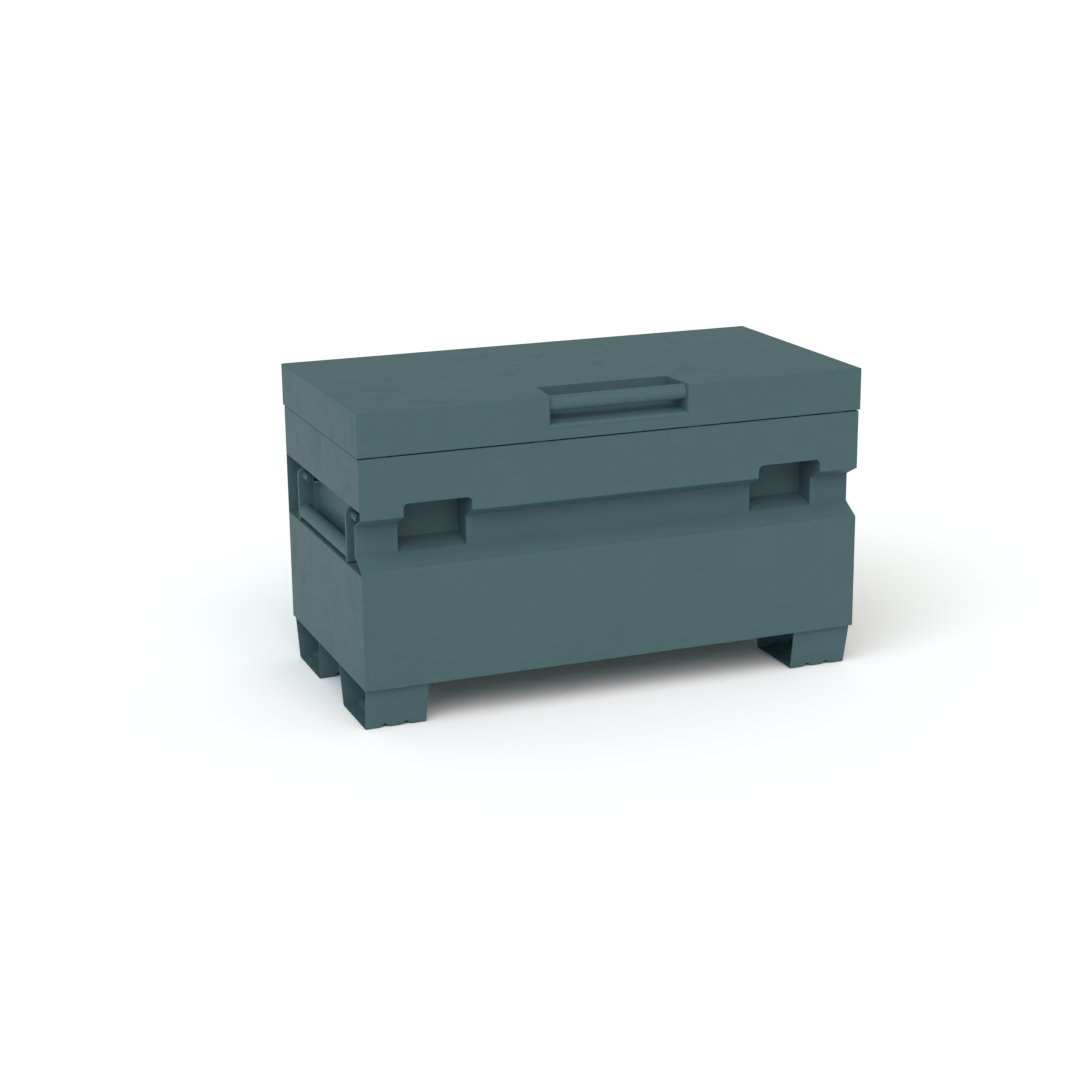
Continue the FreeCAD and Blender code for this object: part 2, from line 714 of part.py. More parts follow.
def add_gusset(body, side, x, front, back):
    """Shelf from the recessed wall to the underside of one barrel."""
    wall = side * (HALF_WIDTH - S.side_recess_depth)
    top = PIVOT_Z - S.pivot_diameter / 2
    corners = [
        (wall, front - S.barrel_length / 4),
        (x, front + S.barrel_length / 4),
        (x, back),
        (wall, back),
    ]
    middle = top - S.gusset_thickness / 2 - S.pivot_clearance
    add_prism(body, "XY", middle, S.gusset_thickness, corners)


def make_lid_shell():
    """Folded lid: flat top, skirt all round, hem under the front and sides."""
    body = new_body("lid_shell")
    outer = HALF_WIDTH + S.lid_overhang
    sheet = S.lid_sheet
    pad = add_block(body, (-outer, LID_FRONT, LID_BOTTOM), (outer, LID_BACK, LID_TOP))
    crown = LID_TOP.number
    soft = [
        "Edge%d" % index
        for index, edge in enumerate(pad.Shape.Edges, start=1)
        if abs(edge.BoundBox.ZMin - crown) < sheet.number
    ]
    fillet = body.newObject("PartDesign::Fillet", "lid_shell_edges")
    fillet.Base = (pad, soft)
    bind(fillet, Radius=S.lid_edge_radius)
    DOC.recompute()
    side = outer - sheet
    hollow_low = (-side, LID_FRONT + sheet, LID_BOTTOM - sheet)
    cut_block(body, hollow_low, (side, LID_BACK - sheet, LID_TOP - sheet))
    hem_top = LID_BOTTOM + sheet
    hem = S.lid_hem_width
    add_block(body, (-side, LID_FRONT + sheet, LID_BOTTOM), (side, LID_FRONT + hem, hem_top))
    for step in (-1, 1):
        hem_low = (step * side, LID_FRONT + hem, LID_BOTTOM)
        add_block(body, hem_low, (step * (outer - hem), LID_BACK - sheet, hem_top))
    rear_edge = HINGE_Z + HINGE_LEAF_START + S.hinge_gap
    rear_low = (-side, LID_BACK - 2 * sheet, LID_BOTTOM - sheet)
    cut_block(body, rear_low, (side, LID_BACK + sheet, rear_edge))
    cut_hand_opening(body)
    return body


def hand_pocket_plan(grow, beyond):
    """Plan of the hand pocket, widened by grow and carried past the lid front by beyond."""
    taper = S.hand_pocket_taper / S.hand_pocket_reach
    half = S.hand_pocket_width / 2 + grow
    front = LID_FRONT - beyond
    back = LID_FRONT + S.hand_pocket_reach + grow
    near = half + taper * beyond
    far = half - S.hand_pocket_taper - taper * grow
    return [(-near, front), (near, front), (far, back), (-far, back)]


def cut_hand_opening(body):
    """Opening in the lid's top and front skirt for the hand pocket."""
    floor = LID_TOP - S.hand_pocket_drop - S.lid_sheet
    top = LID_TOP + S.lid_sheet
    plan = hand_pocket_plan(S.lid_sheet, 2 * S.lid_sheet)
    cut_prism(body, "XY", (floor + top) / 2, top - floor, plan)


def hand_pocket_view(grow, beyond):
    """Side view of the hand pocket, with the front lip and the sloped floor."""
    lip = LID_TOP - S.hand_pocket_drop
    floor = lip + S.hand_pocket_lip
    slope = S.hand_pocket_floor_rise / S.hand_pocket_reach
    top = LID_TOP + beyond
    front = LID_FRONT - beyond
    step = LID_FRONT + grow
    back = LID_FRONT + S.hand_pocket_reach + grow
    return [
        (front, lip - grow),
        (step, lip - grow),
        (step, floor - grow + slope * grow),
        (back, floor + S.hand_pocket_floor_rise - grow),
        (back, top),
        (front, top),
    ]


def make_hand_pocket():
    """Pressed tray in the lid: rounded lip, sloped floor, back wall and two tapered ends."""
    sheet = S.lid_sheet
    shapes = []
    for label, grow, beyond in (("tray", sheet, ZERO), ("hollow", ZERO, sheet)):
        plan = DOC.addObject("PartDesign::Body", label + "_plan")
        middle = LID_TOP - S.hand_pocket_drop / 2
        add_prism(plan, "XY", middle, 2 * S.hand_pocket_drop, hand_pocket_plan(grow, beyond))
        view = DOC.addObject("PartDesign::Body", label + "_view")
        corners = hand_pocket_view(grow, beyond)
        pad = add_prism(view, "YZ", ZERO, 2 * S.hand_pocket_width, corners)
        bend = view.newObject("PartDesign::Fillet", label + "_bend")
        bend.Base = (pad, edges_at(pad, corners[2]))
        bind(bend, Radius=S.hand_pocket_bend - grow)
        DOC.recompute()
        shapes.append(join("Part::Common", label + "_form", plan, view))
    keep("lid_hand_pocket", join("Part::Cut", "lid_hand_pocket", *shapes))
    make_lid_tube(shapes[1])


def edges_at(feature, corner):
    """Names the long edge of a YZ prism that stands at one corner of its section."""
    y, z = (value.number for value in corner)
    names = []
    for index, edge in enumerate(feature.Shape.Edges, start=1):
        offset = edge.CenterOfMass - Vector(0, y, z)
        if offset.Length < S.lid_gap.number / 4:
            names.append("Edge%d" % index)
    return names


def make_lid_tube(hollow):
    """Grip tube across the hand pocket, its ends cut to the tapered end walls."""
    y = LID_FRONT + S.lid_tube_setback + TUBE_RADIUS
    z = LID_TOP - S.lid_tube_drop - TUBE_RADIUS
    long_tube = DOC.addObject("PartDesign::Body", "long_tube")
    reach = S.hand_pocket_width
    discs("Pad", long_tube, "YZ", -reach, reach, [((y, z), TUBE_RADIUS)])
    bore = [((y, z), TUBE_RADIUS - S.handle_tube_wall)]
    discs("Pocket", long_tube, "YZ", -reach, reach, bore)
    keep("lid_handle_tube", join("Part::Common", "lid_handle_tube", long_tube, hollow))


def make_lid_stiffener(name, side):
    """Hat channel under the lid's top, from the front skirt to the rear skirt."""
    body = new_body(name + "_lid_stiffener")
    sheet = S.lid_sheet
    x = side * S.stiffener_spacing / 2
    top = LID_TOP - sheet
    low = top - S.stiffener_height
    half = S.stiffener_width / 2
    foot = half + S.stiffener_flange
    right = [
        (x + foot, top),
        (x + foot, top - sheet),
        (x + half, top - sheet),
        (x + half, low),
    ]
    left = [
        (x - half, low),
        (x - half, top - sheet),
        (x - foot, top - sheet),
        (x - foot, top),
    ]
    back = [
        (x - half + sheet, top),
        (x - half + sheet, low + sheet),
        (x + half - sheet, low + sheet),
        (x + half - sheet, top),
    ]
    middle = (LID_FRONT + LID_BACK) / 2
    length = LID_BACK - LID_FRONT - 2 * sheet
    pad = add_prism(body, "XZ", middle, length, right + left + back)
    return pad


def make_lid_blades():
    """Flat lock blades that hang from the lid's front skirt into the pockets."""
    body = new_body("lid_hasps")
    skirt = LID_FRONT + S.lid_sheet
    front = FRONT + S.hasp_setback
    back = front + S.hasp_width
    low = NOTCH_TOP + S.hasp_clearance
    arm_low = RIM + S.rim_lip_height + S.slot_clearance
    arm_high = arm_low + S.hasp_shoulder
    corner = S.hasp_width / 4
    corners = [
        (skirt, arm_low),
        (front - corner, arm_low),
        (front, arm_low - corner),
        (front, low + corner),
        (front + corner, low),
        (back - corner, low),
        (back, low + corner),
        (back, arm_high - corner),
        (back - corner, arm_high),
        (skirt, arm_high),
    ]
    for _, side in SIDES:
        add_prism(body, "YZ", side * POCKET_X, S.hasp_thickness, corners)
    drill_blades(body)


def make_hinge():
    """Full-length hinge: knuckles in turn on the body leaf and the lid leaf, one pin."""
    count = int(HINGE_LENGTH.number // S.hinge_knuckle_pitch.number)
    step = HINGE_LENGTH / count
    start = -HINGE_LENGTH / 2
    bore = S.hinge_pin_diameter / 2 + S.hinge_clearance
    barrel = S.hinge_barrel_diameter / 2
    neck_depth = (2 * bore + barrel) / 3
    leaves = (
        ("hinge_body_leaf", 0, -1, BACK - S.body_sheet - S.hinge_sheet / 2),
        ("hinge_lid_leaf", 1, 1, LID_BACK - S.lid_sheet - S.hinge_sheet / 2),
    )
    for label, first, up, leaf_y in leaves:
        body = new_body(label)
        near = HINGE_Z + up * HINGE_LEAF_START
        far = near + up * S.hinge_leaf_height
        half = S.hinge_sheet / 2
        low, high = (far, near) if up < 0 else (near, far)
        half_length = HINGE_LENGTH / 2
        add_block(body, (-half_length, leaf_y - half, low), (half_length, leaf_y + half, high))
        neck = HINGE_Z + up * neck_depth
        for index in range(first, count, 2):
            knuckle_low = start + step * index + S.hinge_gap / 2
            knuckle_high = start + step * (index + 1) - S.hinge_gap / 2
            spot = (HINGE_Y, HINGE_Z)
            discs("Pad", body, "YZ", knuckle_low, knuckle_high, [(spot, barrel)])
            ends = (neck, near) if up > 0 else (near, neck)
            add_block(
                body,
                (knuckle_low, leaf_y - half, ends[0]),
                (knuckle_high, leaf_y + half, ends[1]),
            )
        discs("Pocket", body, "YZ", -half_length, half_length, [((HINGE_Y, HINGE_Z), bore)])
    pin = new_body("hinge_pin")
    half_length = HINGE_LENGTH / 2
    spot = ((HINGE_Y, HINGE_Z), S.hinge_pin_diameter / 2)
    discs("Pad", pin, "YZ", -half_length, half_length, [spot])


def strut_pivots():
    """The strut's two pivots at rest: on the body and on the lid, as (Y, Z)."""
    dip = S.strut_spread_angle - S.strut_rise_angle
    reach = S.strut_radius
    on_body = (HINGE_Y - reach * cosine(dip), HINGE_Z - reach * sine(dip))
    on_lid = (HINGE_Y - reach * cosine(S.strut_rise_angle), HINGE_Z + reach * sine(S.strut_rise_angle))
    return on_body, on_lid


def make_strut(name, side):
    """Gas strut: cylinder with its eye, and rod with its eye.

    The two pivots are equally far from the hinge, so the strut leans by half the lid's angle.
    """
    x = side * (HALF_WIDTH - S.strut_inset)
    low, high = strut_pivots()
    lean = S.strut_spread_angle / 2 - S.strut_rise_angle
    closed = 2 * S.strut_radius * sine(S.strut_spread_angle / 2)
    opened = 2 * S.strut_radius * sine((S.strut_spread_angle + S.lid_opening_angle) / 2)
    spot = (x,) + low
    middle = (ZERO, ZERO)
    tube = S.strut_tube_diameter / 2
    rod = S.strut_rod_diameter / 2
    floor = S.eye_length + S.strut_tube_wall
    rod_start = floor + S.strut_end_gap
    tube_end = rod_start + opened - closed + S.strut_overlap
    cylinder = new_body(name + "_strut_cylinder")
    discs("Pad", cylinder, "XY", S.eye_length, tube_end, [(middle, tube)])
    discs("Pocket", cylinder, "XY", floor, tube_end, [(middle, rod + S.strut_slack)])
    add_eye(cylinder, ZERO, S.eye_length)
    place(cylinder, spot, lean)
    rod_body = new_body(name + "_strut_rod")
    discs("Pad", rod_body, "XY", rod_start, closed - S.eye_length, [(middle, rod)])
    add_eye(rod_body, closed, closed - S.eye_length)
    place(rod_body, spot, lean)


def add_eye(body, level, shoulder):
    """Flat end eye: a rounded bar from the shoulder to its bore."""
    radius = S.eye_diameter / 2
    half = S.eye_width / 2
    discs("Pad", body, "YZ", -half, half, [((ZERO, level), radius)])
    low, high = (level, shoulder) if shoulder.number > level.number else (shoulder, level)
    add_block(body, (-half, -radius, low), (half, radius, high))
    bore = S.stud_diameter / 2 + S.stud_clearance
    discs("Pocket", body, "YZ", -half, half, [((ZERO, level), bore)])


def lid_plate_depth():
    """Outer face of a lid bracket, inside the body's side."""
    return S.strut_inset - S.strut_tube_diameter / 2 - S.bracket_gap - S.bracket_sheet


def make_strut_studs():
    """Pins that carry the struts, two on the body's brackets and two on the lid's."""
    wall_plate = S.side_recess_depth + S.body_sheet
    nodes = ("body_strut_studs", wall_plate), ("lid_strut_studs", lid_plate_depth())
    for (label, plate), spot in zip(nodes, strut_pivots()):
        body = new_body(label)
        start = HALF_WIDTH - plate - S.bracket_sheet
        end = HALF_WIDTH - S.strut_inset - S.eye_width
        for _, side in SIDES:
            low, high = (end, start) if side > 0 else (-start, -end)
            discs("Pad", body, "YZ", low, high, [(spot, S.stud_diameter / 2)])


def make_strut_brackets(name, side):
    """Plates that carry the studs, on the recessed wall and under the lid."""
    low, high = strut_pivots()
    lid_plate = lid_plate_depth()
    half = S.bracket_width / 2
    plate = new_body(name + "_body_strut_bracket")
    wall = side * (HALF_WIDTH - S.side_recess_depth - S.body_sheet)
    inner = wall - side * S.bracket_sheet
    tall = S.bracket_height / 2
    add_block(plate, (wall, low[0] - half, low[1] - tall), (inner, low[0] + half, low[1] + tall))
    angle = new_body(name + "_lid_strut_bracket")
    outside = side * (HALF_WIDTH - lid_plate)
    inside = outside - side * S.bracket_sheet
    top = LID_TOP - S.lid_sheet
    foot = high[1] - half
    add_block(angle, (outside, high[0] - half, foot), (inside, high[0] + half, top))
    flange = outside + side * S.bracket_width / 2
    under = top - S.bracket_sheet
    add_block(angle, (outside, high[0] - half, under), (flange, high[0] + half, top))


def make_bumpers():
    """Rubber pads on the rim that the lid's hem comes down on."""
    body = new_body("rim_bumpers")
    y = LID_FRONT + (S.lid_hem_width + S.lid_sheet) / 2
    top = LID_BOTTOM - S.bumper_slack
    outer = HALF_WIDTH - S.bumper_inset
    for x in (-outer, -outer / 3, outer / 3, outer):
        low = (x - S.bumper_length / 2, y - S.bumper_width / 2, RIM)
        add_block(body, low, (x + S.bumper_length / 2, y + S.bumper_width / 2, top))


def make_chest():
    """Every piece of the body."""
    make_front_panel()
    make_back_panel()
    make_floor_panel()
    for name, side in SIDES:
        make_side_panel(name, side)
        make_lock_pocket(name, side)
        for end_name, end in ENDS:
            make_foot("%s_%s_foot" % (end_name, name), side, end)
    make_lock_staples()
    make_bumpers()


def make_lid():
    """Every piece of the lid but its hinge."""
    make_lid_shell()
    make_hand_pocket()
    make_lid_blades()
    for name, side in SIDES:
        make_lid_stiffener(name, side)


def check_document():
    """Stops if any object failed or any piece is not a valid solid."""
    for thing in DOC.Objects:
        if "Invalid" in thing.State or "Error" in thing.State:
            raise RuntimeError("failed: %s %s" % (thing.Name, thing.State))
    for label, thing in NODES.items():
        shape = thing.Shape
        if shape.isNull() or not shape.isValid() or not shape.Solids:
            raise RuntimeError("no valid solid: " + label)


def write_pieces():
    """Writes each piece to its own file."""
    os.makedirs("parts", exist_ok=True)
    for label, thing in NODES.items():
        thing.Shape.exportStep(os.path.join("parts", label + ".step"))


make_chest()
make_lid()
make_hinge()
make_strut_studs()
for side_name, side_sign in SIDES:
    make_side_handle(side_name, side_sign)
    make_strut(side_name, side_sign)
    make_strut_brackets(side_name, side_sign)
DOC.recompute()
check_document()
write_pieces()
print("pieces:", len(NODES))
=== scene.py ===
"""Jobsite box: finishes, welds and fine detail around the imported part.

Lengths are in metres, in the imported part's own frame: X to the box's right,
Y to its back, Z up, with the floor at zero.
"""

from __future__ import annotations

import json
import logging
import math
from dataclasses import dataclass, field
from enum import Enum
from typing import Callable

import bmesh
import bpy
import numpy as np
from mathutils import Matrix, Vector

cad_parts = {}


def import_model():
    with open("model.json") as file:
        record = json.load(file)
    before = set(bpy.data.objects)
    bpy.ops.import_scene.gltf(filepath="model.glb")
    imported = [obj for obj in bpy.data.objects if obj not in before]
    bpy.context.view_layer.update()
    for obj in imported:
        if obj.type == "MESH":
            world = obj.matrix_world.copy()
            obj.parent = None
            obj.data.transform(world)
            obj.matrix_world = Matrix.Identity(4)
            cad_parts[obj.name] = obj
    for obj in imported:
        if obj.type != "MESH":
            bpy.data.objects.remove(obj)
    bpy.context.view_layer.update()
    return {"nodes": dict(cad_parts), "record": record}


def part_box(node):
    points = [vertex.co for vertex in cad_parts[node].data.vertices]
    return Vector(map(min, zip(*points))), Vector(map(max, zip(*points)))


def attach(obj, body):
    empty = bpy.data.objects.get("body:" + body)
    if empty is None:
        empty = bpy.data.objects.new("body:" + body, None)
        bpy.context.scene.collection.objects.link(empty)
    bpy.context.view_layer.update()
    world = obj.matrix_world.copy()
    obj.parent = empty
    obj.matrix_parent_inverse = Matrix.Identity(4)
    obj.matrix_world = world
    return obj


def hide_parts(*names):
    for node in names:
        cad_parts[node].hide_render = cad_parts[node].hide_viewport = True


MM = 0.001
LOG = logging.getLogger("jobsite_box")
Colour = tuple[float, float, float, float]
Point = tuple[float, float, float]
Path3 = Callable[[np.ndarray], np.ndarray]
EdgeRule = Callable[[np.ndarray, np.ndarray, np.ndarray], np.ndarray]
FLAT_TURN = math.radians(0.4)  # faces that turn by less lie in one plane
FLAT = math.cos(FLAT_TURN)
MERGE = 2e-6  # points nearer to each other than this are one
STEEP = 0.9  # an axis with more than this share along another is too near it
X_AXIS, Y_AXIS, Z_AXIS = np.eye(3)


class Side(Enum):
    """The two sides of the box, as the sign of X."""

    LEFT = -1
    RIGHT = 1

    @property
    def word(self) -> str:
        """The side as it stands in a node's name."""
        return self.name.lower()


class End(Enum):
    """The two ends of the box, as the sign of Y."""

    FRONT = -1
    REAR = 1

    @property
    def word(self) -> str:
        """The end as it stands in a node's name."""
        return self.name.lower()


# ---------------------------------------------------------------- shader maths


class Signal:
    """A shader socket that takes part in arithmetic; each operation adds one Math node."""

    def __init__(self, graph: "Graph", socket: bpy.types.NodeSocket) -> None:
        """Keeps the graph that the socket belongs to."""
        self.graph = graph
        self.socket = socket

    def _maths(self, operation: str, *terms: "Signal | float") -> "Signal":
        """Adds a Math node on the given terms."""
        return self.graph.node("ShaderNodeMath", {"operation": operation}, dict(enumerate(terms)))

    def __add__(self, other: "Signal | float") -> "Signal":
        """self + other."""
        return self._maths("ADD", self, other)

    __radd__ = __add__

    def __sub__(self, other: "Signal | float") -> "Signal":
        """self - other."""
        return self._maths("SUBTRACT", self, other)

    def __rsub__(self, other: "Signal | float") -> "Signal":
        """other - self."""
        return self._maths("SUBTRACT", other, self)

    def __mul__(self, other: "Signal | float") -> "Signal":
        """self * other."""
        return self._maths("MULTIPLY", self, other)

    __rmul__ = __mul__

    def above(self, level: float, width: float) -> "Signal":
        """A soft step: 0 below the level, 1 above it.

        Args:
            level: value from which the step rises.
            width: how far above the level it ends.

        Returns:
            The step as a signal.
        """
        settings = {"interpolation_type": "SMOOTHSTEP"}
        inputs = {"Value": self, "From Min": level, "From Max": level + width}
        return self.graph.node("ShaderNodeMapRange", settings, inputs)


class Graph:
    """A node tree that is written as expressions."""

    def __init__(self, tree: bpy.types.NodeTree) -> None:
        """Empties the tree."""
        self.tree = tree
        tree.nodes.clear()

    def node(
        self,
        kind: str,
        settings: dict[str, object] | None = None,
        inputs: dict[str | int, object] | None = None,
        output: str | int = 0,
    ) -> Signal:
        """Adds any node.

        Args:
            kind: the node's Blender type.
            settings: attributes of the node, which are set first.
            inputs: values or signals by socket name or index.
            output: which output socket is returned.

        Returns:
            The chosen output as a signal.
        """
        made = self.tree.nodes.new(kind)
        for name, value in (settings or {}).items():
            setattr(made, name, value)
        for key, value in (inputs or {}).items():
            if isinstance(value, Signal):
                self.tree.links.new(value.socket, made.inputs[key])
            else:
                made.inputs[key].default_value = value
        return Signal(self, made.outputs[output] if made.outputs else made.inputs[0])

    def place(self) -> Signal:
        """The point on the object, in the part's frame."""
        return self.node("ShaderNodeTexCoord", output="Object")

    def noise(self, scale: float, detail: float = 2.0, stretch: tuple[float, float, float] = (1, 1, 1)) -> Signal:
        """Noise from 0 to 1.

        Args:
            scale: waves to the metre.
            detail: how many finer layers are added.
            stretch: factor on the place along each axis.

        Returns:
            The noise as a signal.
        """
        spot = self.place()
        if stretch != (1, 1, 1):
            spot = self.node("ShaderNodeMapping", inputs={"Vector": spot, "Scale": stretch})
        inputs = {"Vector": spot, "Scale": scale, "Detail": detail, "Roughness": 0.55}
        return self.node("ShaderNodeTexNoise", inputs=inputs)

    def blend(self, share: Signal | float, low: Signal | Colour, high: Signal | Colour) -> Signal:
        """Mixes two colours."""
        return self.node("ShaderNodeMix", {"data_type": "RGBA"}, {0: share, 6: low, 7: high}, output=2)

    def bump(self, height: Signal, distance: float, strength: float, over: Signal | None = None) -> Signal:
        """A surface normal from a height.

        Args:
            height: the height, from 0 to 1.
            distance: how far a height of 1 stands out, in metres.
            strength: share of the effect.
            over: normal that the bump is laid over, if any.

        Returns:
            The normal as a signal.
        """
        inputs = {"Height": height, "Distance": distance, "Strength": strength}
        if over is not None:
            inputs["Normal"] = over
        return self.node("ShaderNodeBump", inputs=inputs)


# --------------------------------------------------------------------- finishes


@dataclass(frozen=True)
class Finish:
    """What every finish has: its own name and the record's material slot."""

    name: str
    slot: str

    def shade(self, graph: Graph) -> Signal:
        """Writes the finish into the graph and returns its shader."""
        raise NotImplementedError

    def material(self) -> bpy.types.Material:
        """The finish as a material, made once.

        Returns:
            The material of that name, new or known.
        """
        known = bpy.data.materials.get(self.name)
        if known:
            return known
        made = bpy.data.materials.new(self.name)
        made.use_nodes = True
        graph = Graph(made.node_tree)
        graph.node("ShaderNodeOutputMaterial", inputs={"Surface": self.shade(graph)})
        return made

    def dress(self, piece: bpy.types.Object) -> None:
        """Gives a piece of the scene this finish.

        Args:
            piece: the piece.
        """
        piece.data.materials.clear()
        piece.data.materials.append(self.material())

    def dress_node(self, node: bpy.types.Object) -> None:
        """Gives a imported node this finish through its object, so its mesh stays as it is.

        Args:
            node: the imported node's object.
        """
        if not node.material_slots:
            node.data.materials.append(None)
        for holder in node.material_slots:
            holder.link = "OBJECT"
            holder.material = self.material()


@dataclass(frozen=True)
class PowderCoat(Finish):
    """Matt powder coat on thin sheet.

    Faint mottling and a fine fleck vary the colour a little, handling marks vary the
    gloss, and the bump is orange peel over the slow waves of the sheet.
    """

    deep: Colour = (0.0535, 0.0985, 0.1075, 1.0)
    light: Colour = (0.0585, 0.1055, 0.1155, 1.0)
    roughness: float = 0.56
    gleam: float = 0.12
    peel: float = 0.10
    wave: float = 0.12

    def shade(self, graph: Graph) -> Signal:
        """Writes the coat.

        Args:
            graph: the material's own node tree.

        Returns:
            The shader as a signal.
        """
        cloud = graph.noise(scale=5.0, detail=3.0)
        patch = graph.noise(scale=38.0, detail=2.0)
        fleck = graph.noise(scale=1300.0, detail=1.0)
        mottle = 0.5 * cloud + 0.3 * patch + 0.2 * fleck
        colour = graph.blend(mottle.above(level=0.3, width=0.4), self.deep, self.light)
        rub = graph.noise(scale=17.0, detail=4.0)
        gloss = self.roughness + 0.08 * rub.above(level=0.52, width=0.2) - 0.05 * patch
        sheet = graph.bump(graph.noise(scale=2.6, detail=1.0), distance=0.004, strength=self.wave)
        peel = graph.bump(graph.noise(scale=430.0, detail=2.0), distance=0.0006, strength=self.peel, over=sheet)
        inputs = {"Base Color": colour, "Roughness": gloss, "Normal": peel, "Specular IOR Level": self.gleam}
        return graph.node("ShaderNodeBsdfPrincipled", inputs=inputs)


@dataclass(frozen=True)
class ZincPlate(Finish):
    """Zinc-plated steel: fine brushed grain, dull blue-grey passivation patches."""

    bright: Colour = (0.60, 0.61, 0.62, 1.0)
    dull: Colour = (0.40, 0.42, 0.45, 1.0)
    roughness: float = 0.30

    def shade(self, graph: Graph) -> Signal:
        """Writes the plating.

        Args:
            graph: the material's own node tree.

        Returns:
            The shader as a signal.
        """
        patch = graph.noise(scale=120.0, detail=3.0)
        grain = graph.noise(scale=900.0, detail=2.0, stretch=(1.0, 1.0, 0.08))
        colour = graph.blend(patch.above(level=0.38, width=0.25), self.dull, self.bright)
        gloss = self.roughness + 0.14 * grain + 0.10 * patch
        lines = graph.bump(grain, distance=0.0002, strength=0.25)
        inputs = {"Base Color": colour, "Roughness": gloss, "Normal": lines, "Metallic": 1.0}
        return graph.node("ShaderNodeBsdfPrincipled", inputs=inputs)


@dataclass(frozen=True)
class CylinderPaint(Finish):
    """Satin black paint on a drawn tube: faint draw lines and a dusty bloom."""

    black: Colour = (0.010, 0.010, 0.011, 1.0)
    bloom: Colour = (0.030, 0.030, 0.032, 1.0)

    def shade(self, graph: Graph) -> Signal:
        """Writes the paint.

        Args:
            graph: the material's own node tree.

        Returns:
            The shader as a signal.
        """
        dust = graph.noise(scale=70.0, detail=3.0)
        lines = graph.noise(scale=700.0, detail=1.0, stretch=(1.0, 0.1, 0.1))
        colour = graph.blend(dust.above(level=0.42, width=0.3), self.black, self.bloom)
        gloss = 0.30 + 0.12 * dust + 0.06 * lines
        drawn = graph.bump(lines, distance=0.0002, strength=0.15)
        inputs = {"Base Color": colour, "Roughness": gloss, "Normal": drawn}
        return graph.node("ShaderNodeBsdfPrincipled", inputs=inputs)


@dataclass(frozen=True)
class GroundRod(Finish):
    """Ground and plated rod: nearly mirror bright, with a trace of oil."""

    bright: Colour = (0.74, 0.75, 0.76, 1.0)
    oiled: Colour = (0.58, 0.57, 0.54, 1.0)

    def shade(self, graph: Graph) -> Signal:
        """Writes the plating.

        Args:
            graph: the material's own node tree.

        Returns:
            The shader as a signal.
        """
        oil = graph.noise(scale=160.0, detail=3.0)
        rings = graph.noise(scale=1500.0, detail=1.0, stretch=(0.1, 0.3, 1.0))
        colour = graph.blend(oil.above(level=0.5, width=0.25), self.bright, self.oiled)
        gloss = 0.08 + 0.10 * oil + 0.05 * rings
        ground = graph.bump(rings, distance=0.0001, strength=0.1)
        inputs = {"Base Color": colour, "Roughness": gloss, "Normal": ground, "Metallic": 1.0}
        return graph.node("ShaderNodeBsdfPrincipled", inputs=inputs)


@dataclass(frozen=True)
class MouldedRubber(Finish):
    """Black moulded rubber: matt, with a fine grain and a grey bloom."""

    black: Colour = (0.014, 0.014, 0.014, 1.0)
    bloom: Colour = (0.040, 0.040, 0.039, 1.0)

    def shade(self, graph: Graph) -> Signal:
        """Writes the rubber.

        Args:
            graph: the material's own node tree.

        Returns:
            The shader as a signal.
        """
        bloom = graph.noise(scale=110.0, detail=4.0)
        grain = graph.noise(scale=2200.0, detail=2.0)
        colour = graph.blend(bloom.above(level=0.45, width=0.3), self.black, self.bloom)
        gloss = 0.62 + 0.18 * bloom
        skin = graph.bump(grain, distance=0.0003, strength=0.3)
        inputs = {"Base Color": colour, "Roughness": gloss, "Normal": skin}
        return graph.node("ShaderNodeBsdfPrincipled", inputs=inputs)


@dataclass(frozen=True)
class PaleFloor(Finish):
    """Plain pale studio floor with the faintest tooth."""

    tone: Colour = (0.97, 0.97, 0.97, 1.0)
    shadow_tone: Colour = (0.95, 0.95, 0.95, 1.0)

    def shade(self, graph: Graph) -> Signal:
        """Writes the floor.

        Args:
            graph: the material's own node tree.

        Returns:
            The shader as a signal.
        """
        tooth = graph.noise(scale=90.0, detail=2.0)
        colour = graph.blend(tooth, self.shadow_tone, self.tone)
        inputs = {"Base Color": colour, "Roughness": 0.9, "Specular IOR Level": 0.1}
        return graph.node("ShaderNodeBsdfPrincipled", inputs=inputs)


PAINT = PowderCoat("powder_coat", "box_paint")
ZINC = ZincPlate("zinc_plate", "zinc_steel")
BLACK_TUBE = CylinderPaint("cylinder_paint", "strut_black")
ROD = GroundRod("ground_rod", "rod_chrome")
RUBBER = MouldedRubber("moulded_rubber", "bumper_rubber")
FLOOR = PaleFloor("pale_floor", "")


# ----------------------------------------------------------------------- meshes


def unit(vectors: np.ndarray) -> np.ndarray:
    """Each vector divided by its length."""
    return vectors / np.linalg.norm(vectors, axis=-1, keepdims=True)


